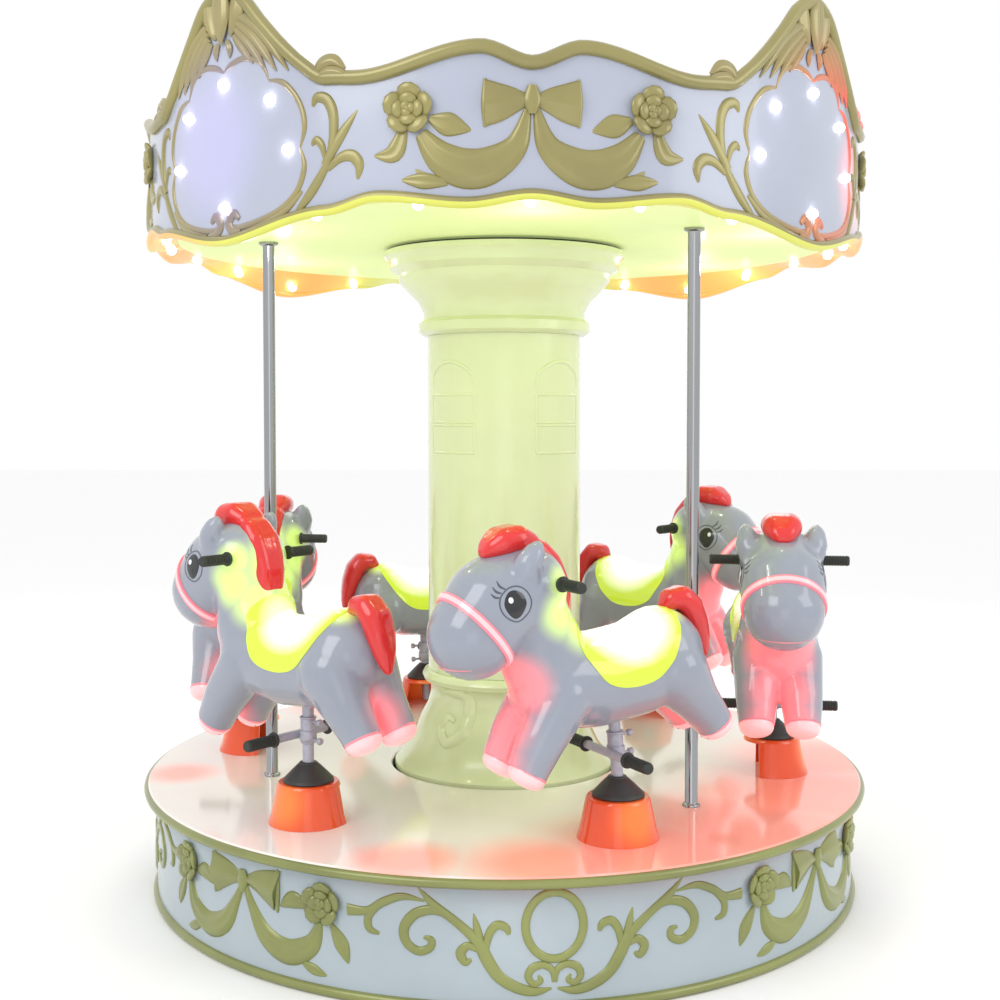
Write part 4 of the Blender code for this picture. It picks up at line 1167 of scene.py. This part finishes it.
def pupil_point(step):
    """A point of the pupil's edge, which is a little pinched and drawn down at its lower half."""
    angle = math.radians(step)
    below = max(0, -math.sin(angle))
    return (EYE.x + 0.001 + (0.0325 - 0.004 * below) * math.cos(angle),
            EYE.y + 0.001 + (0.036 + 0.004 * below ** 3) * math.sin(angle))


PUPIL = [pupil_point(step) for step in range(0, 360, 10)]
GLINT = [(EYE.x + 0.013 + 0.0078 * math.cos(math.radians(step)),
          EYE.y + 0.011 + 0.0088 * math.sin(math.radians(step))) for step in range(0, 360, 30)]
EYE_WHITE = ((0.345, 0.739), (0.364, 0.733), (0.381, 0.718), (0.387, 0.697), (0.380, 0.675), (0.362, 0.659),
             (0.342, 0.652), (0.323, 0.660), (0.307, 0.677), (0.302, 0.700), (0.310, 0.722), (0.326, 0.736))
LASHES = (((0.366, 0.735, 0.0020), (0.377, 0.742, 0.0036), (0.380, 0.755, 0.0010)),
          ((0.378, 0.726, 0.0020), (0.389, 0.731, 0.0036), (0.394, 0.742, 0.0010)),
          ((0.385, 0.716, 0.0020), (0.395, 0.718, 0.0034), (0.402, 0.727, 0.0010)))
pupils = bmesh.new()
glints = bmesh.new()
outlines = bmesh.new()
for side in (1, -1):
    printed_patch(pupils, PUPIL, side, 0.0010)
    printed_patch(glints, GLINT, side, 0.0018)
    printed_line(outlines, [(x, z, 0.0019) for x, z in EYE_WHITE], side, closed=True)
    for run in LASHES:
        printed_line(outlines, run, side)
pupil_form = out_of_mould("pupils", pupils)
glint_form = out_of_mould("eye_glints", glints)
outline_form = out_of_mould("eye_outlines", outlines)
pupil_black = gelcoat("pupil black", (0.012, 0.013, 0.016), 0.12)
glint_white = gelcoat("glint white", (0.85, 0.87, 0.90), 0.15)
outline_grey = gelcoat("outline grey", (0.075, 0.085, 0.11), 0.3)

mouth_shape = bmesh.new()
rings = []
for step in range(-60, 61, 6):
    angle = math.radians(step)
    start = Vector((0.412 + 0.35 * math.cos(angle), 0.35 * math.sin(angle), 0.540))
    hit, out = pony_surface.ray_cast(start, Vector((-math.cos(angle), -math.sin(angle), 0)))[:2]
    wide = Vector((0, 0, 0.0035 * (1 - abs(step) / 75) + 0.0004))
    rings.append([mouth_shape.verts.new(hit + wide * share + out * rise)
                  for share, rise in ((-1, -0.0006), (-0.6, 0.0010), (0.6, 0.0010), (1, -0.0006))])
join_rings(mouth_shape, rings)
mouth_form = out_of_mould("mouth_line", mouth_shape)
mouth_pink = gelcoat("mouth pink", (0.85, 0.28, 0.30), 0.25)


# The stand: a grey painted post with a clamp, a footrest bar through it, and ribbed black rubber
# grips with a flange, which also cover the ends of the handlebar.
def grip_outline(start, end, radius):
    """Radius and place along the bar of a ribbed rubber grip, from its flange to its round end."""
    outline = [(0.008, start), (radius * 1.28, start), (radius * 1.34, start + 0.002),
               (radius * 1.30, start + 0.006), (radius, start + 0.008)]
    ribs = 9
    long = (end - start - 0.024) / ribs
    for rib in range(ribs):
        here = start + 0.012 + long * rib
        outline += [(radius, here), (radius, here + 0.55 * long), (radius * 0.90, here + 0.62 * long),
                    (radius * 0.90, here + 0.92 * long)]
    return outline + [(radius, end - 0.010), (radius * 0.97, end - 0.004), (radius * 0.82, end), (0.006, end)]


def across_bar(name, outline, forward, height):
    """A turned shape laid across the pony on both sides."""
    shape = bmesh.new()
    for side in (1, -1):
        part = turned_rod(name, outline, 24)
        laid = Matrix.Rotation(math.radians(-90 * side), 4, "X")
        part.transform(Matrix.Translation((forward, 0, height)) @ laid)
        shape.from_mesh(part)
    return out_of_mould(name, shape)


def black_rubber(name, colour):
    """Dull rubber with a coarse skin and no gloss coat."""
    rubber = gelcoat(name, colour, 0.5, 0.12, 0.6)
    shader_of(rubber).inputs["Coat Weight"].default_value = 0.0
    return rubber


CLAMP_SCREW = ((0.0042, 0.0), (0.0042, 0.038), (0.0070, 0.0385), (0.0090, 0.041), (0.0105, 0.049),
               (0.0085, 0.053))
HANDLE_FORWARD = 0.203
HANDLE_HEIGHT = 0.726
FOOTREST_FORWARD = 0.030
FOOTREST_HEIGHT = 0.236
grip_black = black_rubber("grip rubber", (0.020, 0.024, 0.020))
handle_grips = across_bar("hand_grips", grip_outline(0.112, 0.2065, 0.0155), HANDLE_FORWARD, HANDLE_HEIGHT)
foot_grips = across_bar("foot_grips", grip_outline(0.098, 0.1995, 0.0162), FOOTREST_FORWARD, FOOTREST_HEIGHT)
foot_bar = across_bar("footrest_bar", ((0.0120, 0.0), (0.0120, 0.099)), FOOTREST_FORWARD, FOOTREST_HEIGHT)
post_form = turned_rod("post_tube", ((0.0155, 0.064), (0.016, 0.0645), (0.016, 0.380)), 32)
clamp_shape = bmesh.new()
for low, high, radius in ((0.214, 0.288, 0.0212), (0.222, 0.250, 0.0245), (0.283, 0.289, 0.0235)):
    inner = radius - 0.0015
    collar = ((inner, low), (radius, low + 0.0015), (radius, high - 0.0015), (inner, high))
    clamp_shape.from_mesh(turned_rod("clamp", collar, 32))
for height in (0.224, 0.276):
    part = turned_rod("clamp_screw", CLAMP_SCREW, 12)
    part.transform(Matrix.Translation((0, 0, height)) @ Matrix.Rotation(math.radians(-90), 4, "Y"))
    clamp_shape.from_mesh(part)
clamp_form = out_of_mould("post_clamp", clamp_shape)
post_grey = sprayed_steel("post grey", (0.42, 0.43, 0.50))


# The hoods and boots: an orange moulded pedestal for each post, open towards the middle of the
# deck, and a black rubber boot on it that keeps water off the slide.
HOOD_STEPS = ((0.113, 0.3503), (0.1125, 0.354), (0.105, 0.374), (0.0885, 0.452), (0.0865, 0.4585),
              (0.083, 0.462), (0.0200, 0.462), (0.0200, 0.456), (0.0795, 0.456), (0.0835, 0.445),
              (0.098, 0.372), (0.1025, 0.3503))
BOOT_STEPS = ((0.0695, 0.4623), (0.0715, 0.4650), (0.0705, 0.4690), (0.0655, 0.4740), (0.0460, 0.4940),
              (0.0300, 0.5095), (0.0265, 0.5115), (0.0255, 0.5145), (0.0225, 0.5160), (0.0166, 0.5160),
              (0.0166, 0.4623))
hood_orange = gelcoat("hood orange", (0.82, 0.090, 0.014), 0.16, 0.08)
# Painted light: a brighter orange glow on both sides of each hood.
painted_light_from(hood_orange, (((0.0, 0.11, 0.42), 0.10),), (1.0, 0.20, 0.03), 0.14, mirrored=True)
boot_black = black_rubber("boot rubber", (0.035, 0.035, 0.033))
window_corners = [(x, y, z) for x in (-0.13, 0.13) for y in (-0.13, -0.045) for z in (0.330, 0.450)]
window_tool = net("window", window_corners, [(0, 1, 3, 2), (4, 6, 7, 5), (0, 4, 5, 1), (2, 3, 7, 6),
                                             (0, 2, 6, 4), (1, 5, 7, 3)])
hood_form = trimmed("hood", hoop("hood", HOOD_STEPS, 64), window_tool, "DIFFERENCE")


# The six ponies in their places: each is set on its post in the same way, turned, tipped and lifted
# as it stands. Its hood and boot turn with the deck, and all its other pieces rise and fall.
PONY_PIECES = (
    ("mane", mane_form, hair_red, "hair_red"),
    ("tail", tail_form, hair_red, "hair_red"),
    ("strap", strap_form, strap_pink, "strap_lamp"),
    ("strap_core", strap_core, strap_light, "strap_lamp"),
    ("hooves", hoof_form, hoof_pink, "strap_lamp"),
    ("hoof_rims", rim_form, strap_pink, "strap_lamp"),
    ("hoof_screws", screw_form, outline_grey, "eye_print"),
    ("pupils", pupil_form, pupil_black, "eye_print"),
    ("eye_glints", glint_form, glint_white, "eye_print"),
    ("eye_outlines", outline_form, outline_grey, "eye_print"),
    ("mouth", mouth_form, mouth_pink, "eye_print"),
    ("foot_grips", foot_grips, grip_black, "grip_rubber"),
    ("footrest_bar", foot_bar, post_grey, "post_steel"),
    ("post_clamp", clamp_form, post_grey, "post_steel"))
for index in range(6):
    number = index + 1
    hood_frame = upright_frame(index, 0.0)
    hood = fit(f"hood_moulding_{number}", hood_form, hood_orange, "platform", 40.0, hood_frame)
    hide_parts(f"hood_{number}")
    boot_form = hoop(f"boot_{number}", BOOT_STEPS, 48)
    slope = math.tan(math.radians(HORSE_PITCHES[index]))
    for corner in boot_form.vertices:
        corner.co.x += slope * (corner.co.z - (DECK_TOP + LEAN_HEIGHT))
    boot = fit(f"boot_moulding_{number}", boot_form, boot_black, "platform", 40.0, hood_frame)
    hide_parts(f"boot_{number}")
    axes = pony_frame(index)
    pony = f"horse_{number}"
    shell = fit(f"pony_shell_{number}", pony_skin, pony_white, pony, 60.0, axes)
    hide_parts(f"{pony}_body")
    saddle = fit(f"pony_saddle_{number}", saddle_form, saddle_glow, pony, 40.0, axes)
    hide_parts(f"{pony}_saddle")
    for part, mesh, paint, slot in PONY_PIECES:
        fit(f"pony_{part}_{number}", mesh, paint, pony, 50.0, axes)
    post = fit(f"pony_post_{number}", post_form, post_grey, pony, 40.0, axes)
    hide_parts(f"{pony}_stand")
    grips = fit(f"pony_hand_grips_{number}", handle_grips, grip_black, pony, 40.0, axes)
    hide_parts(f"{pony}_handlebar")
